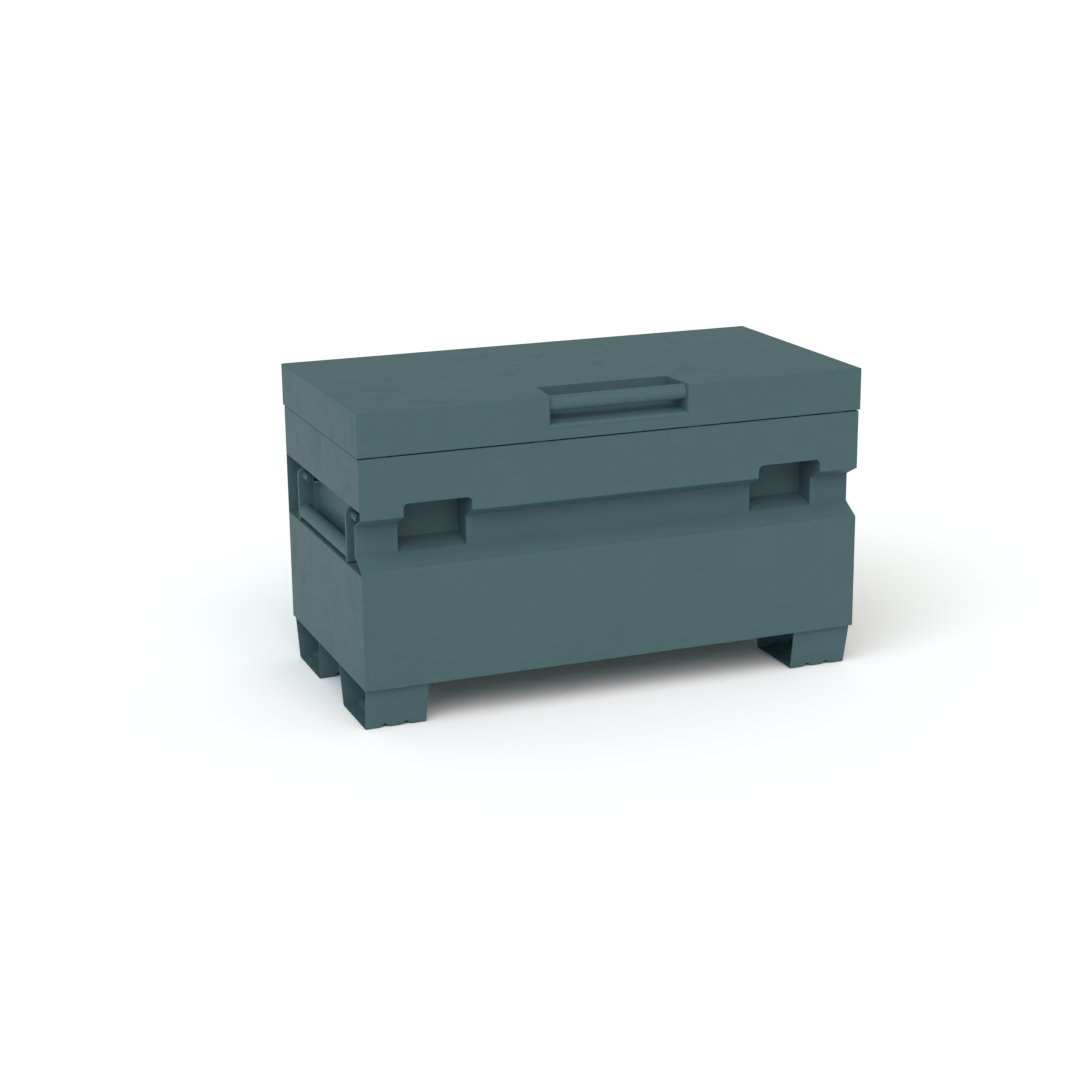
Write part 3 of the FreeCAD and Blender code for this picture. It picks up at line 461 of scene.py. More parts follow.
class Shape:
    """Closed skins gathered into the mesh of one piece."""

    def __init__(self) -> None:
        """Starts empty."""
        self.points: list[np.ndarray] = []
        self.faces: list[list[int]] = []
        self.count = 0

    def skin(self, rings: np.ndarray, loop: bool = False) -> "Shape":
        """Adds the skin over a row of rings.

        Each ring joins the next by quads. An open row gets a face at either end, and a
        loop joins its last ring to its first. The enclosed volume, a third of the sum
        of point times area over the faces, turns an inside-out skin round.

        Args:
            rings: points shaped (rings, points round a ring, 3).
            loop: whether the row of rings closes on itself.

        Returns:
            The shape, so that calls can follow one another.
        """
        along, around, _ = rings.shape
        index = np.arange(along * around).reshape(along, around)
        low = index if loop else index[:-1]
        high = np.roll(index, -1, axis=0) if loop else index[1:]
        corners = (low, np.roll(low, -1, axis=1), np.roll(high, -1, axis=1), high)
        quads = np.stack(corners, axis=-1).reshape(-1, 4)
        points = rings.reshape(-1, 3)
        a, b, c, d = (points[quads[:, corner]] for corner in range(4))
        centre = points.mean(axis=0)
        volume = ((a - centre) * np.cross(c - a, d - b)).sum()
        for ring, sign in (() if loop else ((rings[0], -1), (rings[-1], 1))):
            fan = np.cross(ring - ring[0], np.roll(ring, -1, axis=0) - ring[0])
            volume += sign * ((ring[0] - centre) * fan).sum()
        faces = quads.tolist()
        if not loop:
            faces += [index[0, ::-1].tolist(), index[-1].tolist()]
        if volume < 0:
            faces = [face[::-1] for face in faces]
        self.faces += [[corner + self.count for corner in face] for face in faces]
        self.points.append(points)
        self.count += len(points)
        return self

    def piece(self, name: str, body: str, finish: Finish, *stands_for: str) -> bpy.types.Object:
        """Makes the finished piece.

        Args:
            name: the piece's name.
            body: the body that it rides on.
            finish: its finish.
            stands_for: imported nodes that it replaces.

        Returns:
            The new object.
        """
        mesh = bpy.data.meshes.new(name)
        mesh.from_pydata(np.concatenate(self.points), [], self.faces)
        mesh.validate()
        settle_normals(mesh)
        return fit_out(mesh, name, body, finish, *stands_for)


def fit_out(mesh: bpy.types.Mesh, name: str, body: str, finish: Finish, *stands_for: str) -> bpy.types.Object:
    """Puts a mesh in the scene as a dressed piece that rides on a body.

    Args:
        mesh: the piece's mesh, in its place.
        name: the piece's name.
        body: the body that it rides on.
        finish: its finish.
        stands_for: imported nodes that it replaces.

    Returns:
        The new object.
    """
    made = bpy.data.objects.new(name, mesh)
    bpy.context.scene.collection.objects.link(made)
    finish.dress(made)
    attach(made, body)
    if stands_for:
        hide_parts(*stands_for)
    return made


def read(items: bpy.types.bpy_prop_collection, name: str, width: int = 1) -> np.ndarray:
    """One property of every item, as an array.

    Args:
        items: vertices, edges, loops or faces of a mesh.
        name: the property.
        width: how many numbers it has for each item.

    Returns:
        Shaped (items,), or (items, width) where the width is more than one.
    """
    kind = int if name in ("edge_index", "loop_total", "vertices", "vertex_index") else float
    values = np.zeros(len(items) * width, kind)
    items.foreach_get(name, values)
    return values.reshape(-1, width) if width > 1 else values


def edge_faces(mesh: bpy.types.Mesh) -> tuple[np.ndarray, np.ndarray]:
    """The two faces beside each edge of a closed mesh.

    Args:
        mesh: the mesh.

    Returns:
        Two arrays of face numbers, one number for each edge.
    """
    face = np.repeat(np.arange(len(mesh.polygons)), read(mesh.polygons, "loop_total"))
    edge = read(mesh.loops, "edge_index")
    order = np.argsort(edge, kind="stable")
    starts = np.searchsorted(edge[order], np.arange(len(mesh.edges)))
    ends = np.searchsorted(edge[order], np.arange(len(mesh.edges)), side="right") - 1
    return face[order][starts], face[order][ends]


def flat_regions(mesh: bpy.types.Mesh) -> np.ndarray:
    """Numbers the flat regions of a closed mesh: faces in one plane that touch share a number.

    Each face starts with its own number, and both faces of an edge that does not turn
    take the lower of their two numbers until nothing changes.

    Args:
        mesh: the mesh.

    Returns:
        The region's number for each face.
    """
    first, second = edge_faces(mesh)
    normals = read(mesh.polygons, "normal", 3)
    level = (normals[first] * normals[second]).sum(axis=1) > FLAT
    first, second = first[level], second[level]
    region = np.arange(len(mesh.polygons))
    while (region[first] != region[second]).any():
        lower = np.minimum(region[first], region[second])
        np.minimum.at(region, first, lower)
        np.minimum.at(region, second, lower)
        region = region[region]
    return region


def settle_normals(mesh: bpy.types.Mesh, reach: float = math.radians(50)) -> None:
    """Gives every face corner a normal that keeps wide faces flat and rounds narrow ones.

    Normal = the sum of the normals of the faces round the corner's point that turn by
    less than the reach from the corner's own face, each times the area of its flat region.

    Args:
        mesh: the mesh, which is changed in place.
        reach: greatest turn between faces that share a normal.
    """
    normals = read(mesh.polygons, "normal", 3)
    region = flat_regions(mesh)
    weight = np.bincount(region, weights=read(mesh.polygons, "area"))[region]
    vertex = read(mesh.loops, "vertex_index")
    face = np.repeat(np.arange(len(mesh.polygons)), read(mesh.polygons, "loop_total"))
    order = np.argsort(vertex, kind="stable")
    vertex, face = vertex[order], face[order]
    start = np.searchsorted(vertex, vertex, side="left")
    count = np.searchsorted(vertex, vertex, side="right") - start
    place = np.arange(len(order)) - start
    total = np.zeros((len(order), 3))
    for step in range(count.max()):
        other = face[start + (place + step) % count]
        near = (normals[face] * normals[other]).sum(axis=1) > math.cos(reach)
        total += (near * (step < count) * weight[other])[:, None] * normals[other]
    settled = np.empty_like(total)
    settled[order] = unit(total)
    mesh.shade_smooth()
    mesh.normals_split_custom_set(settled.tolist())


@dataclass(frozen=True)
class EdgeBreak:
    """How the edges of a copied solid are rounded: folds more, cut edges less."""

    fold: float = 1.1 * MM
    cut: float = 0.35 * MM
    share: float = 0.28
    wide: float = 2.4 * MM
    turn: float = math.radians(34)
    segments: int = 2
    rule: EdgeRule | None = None

    def copy(self, nodes: dict[str, bpy.types.Object], node: str, body: str, finish: Finish) -> bpy.types.Object:
        """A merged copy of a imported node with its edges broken, which stands for it.

        Args:
            nodes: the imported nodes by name.
            node: the node to copy.
            body: the body that the copy rides on.
            finish: its finish.

        Returns:
            The new object.
        """
        name = node + "_finished"
        mesh = self._weighted_copy(nodes[node].data, name)
        work = bpy.data.objects.new(name, mesh)
        bpy.context.scene.collection.objects.link(work)
        bevel = work.modifiers.new("edge_break", "BEVEL")
        bevel.limit_method = "WEIGHT"
        bevel.width = self.fold
        bevel.segments = self.segments
        bevel.use_clamp_overlap = False
        rounded = bpy.data.meshes.new_from_object(work.evaluated_get(bpy.context.evaluated_depsgraph_get()))
        bpy.data.objects.remove(work)
        source = read(nodes[node].data.vertices, "co", 3)
        points = read(rounded.vertices, "co", 3).clip(source.min(axis=0), source.max(axis=0))
        rounded.vertices.foreach_set("co", points.ravel())
        rounded.update()
        settle_normals(rounded)
        return fit_out(rounded, name, body, finish, node)

    def _weighted_copy(self, source: bpy.types.Mesh, name: str) -> bpy.types.Mesh:
        """A copy with its triangles merged into flat faces, weighted edges and clean triangles.

        Args:
            source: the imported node's mesh, which stays as it is.
            name: name of the copy.

        Returns:
            The copy, with a bevel weight on each edge.
        """
        work = bmesh.new()
        work.from_mesh(source)
        bmesh.ops.remove_doubles(work, verts=work.verts, dist=MERGE)
        bmesh.ops.dissolve_limit(work, angle_limit=FLAT_TURN, verts=work.verts, edges=work.edges)
        mesh = bpy.data.meshes.new(name)
        work.to_mesh(mesh)
        weights = self._widths(mesh) / self.fold
        mesh.attributes.new("bevel_weight_edge", "FLOAT", "EDGE").data.foreach_set("value", weights)
        work.clear()
        work.from_mesh(mesh)
        bmesh.ops.triangulate(work, faces=work.faces, quad_method="BEAUTY", ngon_method="BEAUTY")
        work.to_mesh(mesh)
        work.free()
        return mesh

    def _widths(self, mesh: bpy.types.Mesh) -> np.ndarray:
        """How wide each edge is broken.

        A region's width is twice its area over the length of its outline. Where both
        regions beside an edge are wide it is a fold, elsewhere a cut edge, and neither
        is broken by more than a share of the narrower region. The rule, if there is
        one, comes first wherever it gives a number.

        Args:
            mesh: the merged mesh.

        Returns:
            The width for each edge, zero where the faces beside it hardly turn.
        """
        points = read(mesh.vertices, "co", 3)[read(mesh.edges, "vertices", 2)]
        length = np.linalg.norm(points[:, 1] - points[:, 0], axis=1)
        first, second = edge_faces(mesh)
        region = flat_regions(mesh)
        outline = region[first] != region[second]
        size = len(mesh.polygons)
        border = length * outline
        around = np.bincount(region[first], border, size) + np.bincount(region[second], border, size)
        area = np.bincount(region, read(mesh.polygons, "area"), size)
        width = 2 * area / np.maximum(around, MM)
        narrow = np.minimum(width[region[first]], width[region[second]])
        normals = read(mesh.polygons, "normal", 3)
        cosine = (normals[first] * normals[second]).sum(axis=1)
        usual = np.minimum(np.where(2 * narrow > self.wide, self.fold, self.cut), self.share * narrow)
        if self.rule:
            ruled = self.rule(points.mean(axis=1), normals[first], normals[second])
            usual = np.where(np.isnan(ruled), usual, ruled)
        return np.where(cosine < math.cos(self.turn), usual, 0.0)


def swept(
    path: np.ndarray, across: np.ndarray, radius: np.ndarray, angle: np.ndarray, loop: bool = False
) -> np.ndarray:
    """Rings round a path.

    Point = path + radius (cos angle · across + sin angle · side), where side is the
    path's direction crossed with across.

    Args:
        path: points, shaped (n, 3).
        across: the direction at angle zero, shaped (n, 3).
        radius: shaped (n, m).
        angle: shaped (m,).
        loop: whether the path closes on itself.

    Returns:
        Rings shaped (n, m, 3).
    """
    if loop:
        along = np.roll(path, -1, axis=0) - np.roll(path, 1, axis=0)
    else:
        along = unit(np.gradient(path, axis=0))
    side = unit(np.cross(along, across))
    flat = unit(np.cross(side, along))
    turn = np.cos(angle)[None, :, None] * flat[:, None] + np.sin(angle)[None, :, None] * side[:, None]
    return path[:, None] + radius[..., None] * turn


def turned(profile: np.ndarray, start: np.ndarray, axis: np.ndarray, steps: int = 40) -> np.ndarray:
    """Rings of a turned shape: point = start + axis · distance + radius in every direction round the axis.

    Args:
        profile: (distance along the axis, radius) pairs.
        start: the point at distance zero.
        axis: direction of the axis.
        steps: points round a ring.

    Returns:
        Rings shaped (pairs, steps, 3).
    """
    axis = unit(np.asarray(axis, float))
    first = unit(np.cross(axis, Z_AXIS if abs(axis[2]) < STEEP else Y_AXIS))
    second = np.cross(axis, first)
    angle = np.linspace(0, 2 * np.pi, steps, endpoint=False)
    spoke = np.cos(angle)[:, None] * first + np.sin(angle)[:, None] * second
    centre = np.asarray(start, float) + profile[:, :1] * axis
    return centre[:, None] + profile[:, 1][:, None, None] * spoke[None]


def rounded(corners: np.ndarray, radius: np.ndarray, steps: int = 4, most: float = 0.45) -> np.ndarray:
    """Outlines with their corners rounded by arcs.

    Arc = ((1 - t)² A + 2 t (1 - t) w C + t² B) / ((1 - t)² + 2 t (1 - t) w + t²), where
    C is the corner, A and B are the points on its sides at the arc's ends, and w is the
    sine of half the corner's angle.

    Args:
        corners: shaped (outlines, corners, 2).
        radius: shaped (corners,).
        steps: pieces in an arc.
        most: share of the shorter side that an arc may take up.

    Returns:
        Outlines shaped (outlines, corners · (steps + 1), 2).
    """
    back, ahead = np.roll(corners, 1, axis=1) - corners, np.roll(corners, -1, axis=1) - corners
    cosine = (unit(back) * unit(ahead)).sum(axis=-1, keepdims=True)
    reach = radius[None, :, None] * np.sqrt((1 + cosine) / (1 - cosine))
    shortest = np.minimum(*(np.linalg.norm(way, axis=-1, keepdims=True) for way in (back, ahead)))
    reach = np.minimum(reach, most * shortest)
    first, last = (corners + reach * unit(way) for way in (back, ahead))
    share = np.linspace(0, 1, steps + 1)[:, None]
    middle = 2 * share * (1 - share) * np.sqrt((1 - cosine) / 2)[:, :, None]
    arcs = (1 - share) ** 2 * first[:, :, None] + middle * corners[:, :, None] + share**2 * last[:, :, None]
    arcs /= (1 - share) ** 2 + middle + share**2
    return arcs.reshape(len(corners), -1, 2)


def inward(outline: np.ndarray) -> np.ndarray:
    """How each corner of an outline moves when its sides move inwards by one.

    Step = (one side's inward normal + the other's) / (1 + their cosine).

    Args:
        outline: corners, shaped (n, 2).

    Returns:
        Steps shaped (n, 2).
    """
    side = unit(np.roll(outline, -1, axis=0) - outline)
    normal = np.stack([-side[:, 1], side[:, 0]], axis=-1)
    following = np.roll(outline, -1, axis=0)
    area = (outline[:, 0] * following[:, 1] - outline[:, 1] * following[:, 0]).sum()
    normal = normal * np.sign(area)
    before = np.roll(normal, 1, axis=0)
    return (normal + before) / (1 + (normal * before).sum(axis=-1, keepdims=True))


def slab(outline: np.ndarray, low: float, high: float, edge: float, axis: int, steps: int = 4) -> np.ndarray:
    """Rings of a flat plate with rounded edges.

    At either face the outline is moved inwards by edge · (1 - sin turn) and its level
    by edge · (1 - cos turn), for turns from 0 to 90 degrees.

    Args:
        outline: corners in the plate's plane, shaped (n, 2).
        low: level of one face.
        high: level of the other.
        edge: radius of the edges.
        axis: number of the axis across the plate.
        steps: levels in the rounding of one edge.

    Returns:
        Rings shaped (rings, n, 3).
    """
    turn = np.linspace(0, np.pi / 2, steps)
    sunk = edge * (1 - np.cos(turn))
    shrunk = edge * (1 - np.sin(turn))
    level = np.concatenate([low + sunk, (high - sunk)[::-1]])
    shrunk = np.concatenate([shrunk, shrunk[::-1]])
    flat = outline + shrunk[:, None, None] * inward(outline)
    return np.insert(flat, axis, level[:, None], axis=-1)


@dataclass(frozen=True)
class Weld:
    """A rippled weld bead, half sunk into the corner that it fills.

    Radius = bead radius · (1 - depth · |sin(pi · length / pitch + lag · cos angle)|),
    and it falls away as a quarter circle at the ends of an open run.
    """

    radius: float = 2.6 * MM
    pitch: float = 3.0 * MM
    depth: float = 0.17
    lag: float = 0.9
    sides: int = 12
    steps: int = 5
    probes: int = 65
    tip: float = 0.02

    def lay(self, shape: Shape, path: Path3, across: Path3, loop: bool = False) -> None:
        """Lays one bead.

        Args:
            shape: receives the bead.
            path: the bead's middle line, from an array of shares 0 to 1.
            across: the direction in which it bulges, from the same shares.
            loop: whether the bead closes on itself.
        """
        probe = path(np.linspace(0, 1, self.probes))
        length = np.linalg.norm(np.diff(probe, axis=0), axis=1).sum()
        ripples = max(2, round(length / self.pitch))
        share = np.linspace(0, 1, ripples * self.steps + 1)
        if loop:
            share = share[:-1]
        angle = np.linspace(0, 2 * np.pi, self.sides, endpoint=False)
        phase = math.pi * ripples * share[:, None] + self.lag * np.cos(angle)[None]
        radius = self.radius * (1 - self.depth * np.abs(np.sin(phase)))
        if not loop:
            near = np.minimum(share, 1 - share) * length / self.radius
            radius = radius * np.sqrt(np.clip(1 - (1 - np.clip(near, 0, 1)) ** 2, self.tip, 1))[:, None]
        shape.skin(swept(path(share), across(share), radius, angle, loop), loop)

    def run(self, shape: Shape, start: tuple, end: tuple, bulge: tuple) -> None:
        """Lays a straight bead.

        Args:
            shape: receives the bead.
            start: its first point.
            end: its last point.
            bulge: the direction in which it bulges.
        """
        begin, stop = np.array(start, float), np.array(end, float)
        self.lay(
            shape,
            lambda share: begin + share[:, None] * (stop - begin),
            lambda share: np.tile(unit(np.array(bulge, float)), (len(share), 1)),
        )

    def ring(self, shape: Shape, centre: tuple, axis: tuple, radius: float, lean: float = 0.0) -> None:
        """Lays a bead round a bar.

        Point = centre + radius (cos turn · first + sin turn · second), pushed along the
        axis by lean times its way along second, for a bar that ends on a slanting wall.

        Args:
            shape: receives the bead.
            centre: middle of the ring.
            axis: direction of the bar.
            radius: radius of the ring.
            lean: slope of the wall that the bar ends on.
        """
        middle, line = np.array(centre, float), unit(np.array(axis, float))
        first = unit(np.cross(line, Y_AXIS if abs(line[1]) < STEEP else X_AXIS))
        second = unit(np.cross(line, first))

        def spoke(share: np.ndarray) -> np.ndarray:
            """Directions out from the bar at these shares of a turn."""
            turn = 2 * np.pi * share[:, None]
            return np.cos(turn) * first + np.sin(turn) * second

        def path(share: np.ndarray) -> np.ndarray:
            """Points of the bead's middle line at these shares of a turn."""
            out = radius * spoke(share)
            return middle + out + lean * (out @ second)[:, None] * line

        self.lay(shape, path, spoke, loop=True)


# ------------------------------------------------------------------ sub-assemblies


@dataclass
class Assembly:
    """What every sub-assembly has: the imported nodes, their bodies and its pieces."""

    nodes: dict[str, bpy.types.Object]
    bodies: dict[str, str]
    pieces: list[bpy.types.Object] = field(default_factory=list)

    def soften(self, node: str, finish: Finish, edges: EdgeBreak = EdgeBreak()) -> None:
        """Adds the softened copy of a node."""
        self.pieces.append(edges.copy(self.nodes, node, self.bodies[node], finish))

    def add(self, shape: Shape, name: str, body: str, finish: Finish, *stands_for: str) -> None:
        """Adds a piece made from a shape."""
        self.pieces.append(shape.piece(name, body, finish, *stands_for))

    @staticmethod
    def corners(node: str) -> tuple[np.ndarray, np.ndarray]:
        """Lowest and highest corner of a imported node."""
        low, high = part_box(node)
        return np.array(low), np.array(high)


@dataclass
class Chest(Assembly):
    """The body's bent sheets and the seams welded inside its corners."""

    seam: Weld = Weld(radius=2.2 * MM)
    seam_gap: float = 8 * MM
    sheet: float = 1.9 * MM
    corner: float = 1.5 * MM
    waist_reach: float = 50 * MM
    slack: float = 0.1 * MM
    joint_gap: float = 0.2 * MM
    sidelong: float = 0.05
    upward: float = 0.5

    def build(self) -> None:
        """Softens the sheets and welds the inner corners."""
        edges = EdgeBreak(rule=self._corner_rule)
        for node in ("front_panel", "back_panel"):
            self.soften(node, PAINT, edges)
        for side in Side:
            self.soften(side.word + "_side_panel", PAINT, edges)
        self.soften("floor_panel", PAINT)
        self.add(self._corner_seams(), "corner_seams", "chest", PAINT)

    def _corner_rule(self, middle: np.ndarray, one: np.ndarray, other: np.ndarray) -> np.ndarray:
        """Rounds the body's upright corners and leaves the ground-flush seams beside them unbroken.

        An edge in the plane of the body's side is the corner's where the face that
        isn't in that plane looks out to the front, the back or the top, and a seam
        where it looks into the corner. The side sheet's own ends are seams.

        Args:
            middle: the middle of each edge.
            one: normal of one face beside each edge.
            other: normal of the other face.

        Returns:
            The width for each edge, or nan where the usual width holds.
        """
        low, high = self.corners("front_panel")
        depth = self.corners("back_panel")[1][1]
        reach = depth - 2 * self.sheet
        plane = np.abs(middle[:, 0]) > high[0] - self.slack
        near_end = np.abs(middle[:, 1]) > reach
        away = np.where(np.abs(one[:, :1]) < np.abs(other[:, :1]), one, other)
        sign = np.sign(middle[:, 1])
        looks_out = away[:, 1] * sign > self.sidelong
        looks_out |= (np.abs(away[:, 1]) < self.sidelong) & (away[:, 2] > self.upward)
        waist = plane & (middle[:, 1] < low[1] + self.waist_reach) & ~near_end
        width = np.full(len(middle), np.nan)
        width[plane & near_end] = 0.0
        width[waist] = 0.0
        front_face = np.abs(middle[:, 1] + depth) < self.waist_reach
        width[plane & looks_out & (front_face | (middle[:, 1] > reach))] = self.corner
        return width

    def _corner_seams(self) -> Shape:
        """Upright beads in the body's inner corners, over and under the hand recess.

        Returns:
            The beads as one shape.
        """
        shape = Shape()
        floor_top = self.corners("floor_panel")[1][2]
        rim = self.corners("front_panel")[1][2]
        barrels = self.corners("left_pivot_barrels")
        grip_low = self.corners("left_handle_grip")[0][2]
        spans = (
            (floor_top + self.seam_gap, grip_low - 4 * self.seam_gap),
            (barrels[1][2] + 5 * self.seam_gap, rim - 3 * self.seam_gap),
        )
        for side in Side:
            low, high = self.corners(side.word + "_side_panel")
            x = side.value * (max(abs(low[0]), abs(high[0])) - self.sheet)
            for end in End:
                y = end.value * (high[1] - self.joint_gap)
                for bottom, top in spans:
                    self.seam.run(shape, (x, y, bottom), (x, y, top), (-side.value, -end.value, 0))
        return shape


@dataclass
class LockPockets(Assembly):
    """Padlock housings, with the fixed blades welded to their back walls."""

    bead: Weld = Weld(radius=2.0 * MM, pitch=2.4 * MM)
    blade: float = 5 * MM

    def build(self) -> None:
        """Softens the housings and the blades and welds the blades in."""
        for side in Side:
            self.soften(side.word + "_lock_pocket", PAINT)
        self.soften("lock_staples", PAINT)
        low, high = self.corners("lock_staples")
        shape = Shape()
        for side in Side:
            for inner in (abs(high[0]) - self.blade, abs(high[0])):
                x = side.value * inner
                start = (x, high[1], low[2] + self.bead.radius)
                end = (x, high[1], high[2] - self.bead.radius)
                away = side.value if inner == abs(high[0]) else -side.value
                self.bead.run(shape, start, end, (away, -1, 0))
        self.add(shape, "staple_welds", "chest", PAINT)


@dataclass
class Feet(Assembly):
    """Four folded feet with grooved soles, stitch-welded under the floor."""

    bead: Weld = Weld(radius=2.6 * MM)
    flange: float = 38 * MM
    sheet: float = 3 * MM
    lean: float = 21 * MM
    taper: float = 2.2 * MM
    groove_width: float = 28 * MM
    groove_height: float = 10 * MM
    groove_spacing: float = 50 * MM
    crest: float = 1.0 * MM
    brow: float = 1.2 * MM
    outer_bend: float = 4.0 * MM
    inner_bend: float = 1.0 * MM
    corner: float = 4.0 * MM
    edge: float = 0.5 * MM
    edge_steps: int = 3
    sections: int = 25
    groove_sections: int = 33
    groove_reach: float = 0.6
    gather: int = 8

    def build(self) -> None:
        """Folds the feet and welds their flanges."""
        for end in End:
            for side in Side:
                node = f"{end.word}_{side.word}_foot"
                shape = Shape().skin(self._folded(*self.corners(node)))
                self.add(shape, node + "_finished", "chest", PAINT, node)
        self.add(self._stitches(), "foot_welds", "chest", PAINT)

    def _sole(self, across: np.ndarray) -> np.ndarray:
        """Height of the sole's underside.

        Height = (v + sqrt(v² + brow²)) / 2, where v = groove height - slope ·
        sqrt(distance² + crest²) and the distance is measured from the nearest groove.

        Args:
            across: places across the foot, from its middle.

        Returns:
            The height at each place.
        """
        slope = 2 * self.groove_height / self.groove_width
        distance = np.abs(np.abs(across) - self.groove_spacing / 2)
        rise = self.groove_height - slope * np.sqrt(distance**2 + self.crest**2)
        return (rise + np.sqrt(rise**2 + self.brow**2)) / 2

    def _folded(self, low: np.ndarray, high: np.ndarray) -> np.ndarray:
        """Rings of one foot, each a closed section of its folded sheet.

        The walls lean as lean · (1 - z / height), the sheet keeps its thickness on the
        groove's flanks, and the two open edges draw in towards the sole by taper ·
        (1 - z / height) and by a quarter circle at its corners.

        Args:
            low: lowest corner of the foot's box.
            high: highest corner.

        Returns:
            Rings shaped (rings, points, 3).
        """
        height, length = high[2] - low[2], high[1] - low[1]
        half = (high[0] - low[0]) / 2
        even = np.linspace(-half, half, self.sections)
        groove = np.linspace(-1, 1, self.groove_sections) * self.groove_reach * self.groove_width
        offset = self.groove_spacing / 2
        across = np.unique(np.concatenate([even, groove - offset, groove + offset]).round(6))
        sole = self._sole(across)
        thick = self.sheet * np.sqrt(1 + np.gradient(sole, across) ** 2)
        section = self._section(sole, sole + thick, height, length)
        level = section[..., 1]
        below = np.clip(self.corner - level, 0, self.corner)
        drawn = self.taper * (1 - level / height) + self.corner - np.sqrt(self.corner**2 - below**2)
        share = across[:, None] / half
        x = across[:, None] - np.sign(share) * np.abs(share) ** self.gather * drawn
        rings = np.concatenate([x[..., None], section], axis=-1)
        turn = np.linspace(0, np.pi / 2, self.edge_steps)
        tips = []
        for ring, sign in ((rings[0], 1), (rings[-1], -1)):
            tip = np.repeat(ring[None], len(turn), axis=0)
            tip[..., 0] += sign * self.edge * (1 - np.cos(turn))[:, None]
            tip[..., 1:] += self.edge * (1 - np.sin(turn))[:, None, None] * inward(ring[:, 1:])
            tips.append(tip)
        middle = [(low[0] + high[0]) / 2, low[1], low[2]]
        return np.concatenate([tips[0], rings[1:-1], tips[1][::-1]]) + np.array(middle)

    def _section(self, under: np.ndarray, over: np.ndarray, height: float, length: float) -> np.ndarray:
        """Closed outlines of the folded sheet, with its bends rounded.

        Args:
            under: height of the sole's underside in each section.
            over: height of its upper side.
            height: height of the foot.
            length: length of the foot at its top.

        Returns:
            Outlines shaped (sections, points, 2).
        """
        wall = self.sheet * math.hypot(height, self.lean) / height
        inner_top = np.full_like(under, height - self.sheet)
        tip = np.full_like(under, self.flange)
        top = np.full_like(under, height)
        near = [
            (tip, inner_top),
            (tip, top),
            (np.zeros_like(under), top),
            (self.lean * (1 - under / height), under),
        ]
        inside = [
            (self.lean * (1 - inner_top / height) + wall, inner_top),
            (self.lean * (1 - over / height) + wall, over),
        ]
        far = [(length - y, z) for y, z in near]
        far_inside = [(length - y, z) for y, z in inside]
        corners = near + far[::-1] + far_inside + inside[::-1]
        outlines = np.stack([np.stack(corner, axis=-1) for corner in corners], axis=1)
        edge, outer, inner = self.edge, self.outer_bend, self.inner_bend
        radius = np.array([edge, edge, outer, outer, outer, outer, edge, edge, inner, inner, inner, inner])
        return rounded(outlines, radius)

    def _stitches(self) -> Shape:
        """Beads along the two open ends of every flange.

        Returns:
            The beads as one shape.
        """
        shape = Shape()
        for end in End:
            for side in Side:
                low, high = self.corners(f"{end.word}_{side.word}_foot")
                top = high[2]
                for x, away in ((low[0], -1), (high[0], 1)):
                    for y, onward in ((low[1], 1), (high[1], -1)):
                        near = y + onward * 2 * self.bead.radius
                        far = y + onward * (self.flange - self.bead.radius)
                        self.bead.run(shape, (x, near, top), (x, far, top), (away, 0, -1))
        return shape


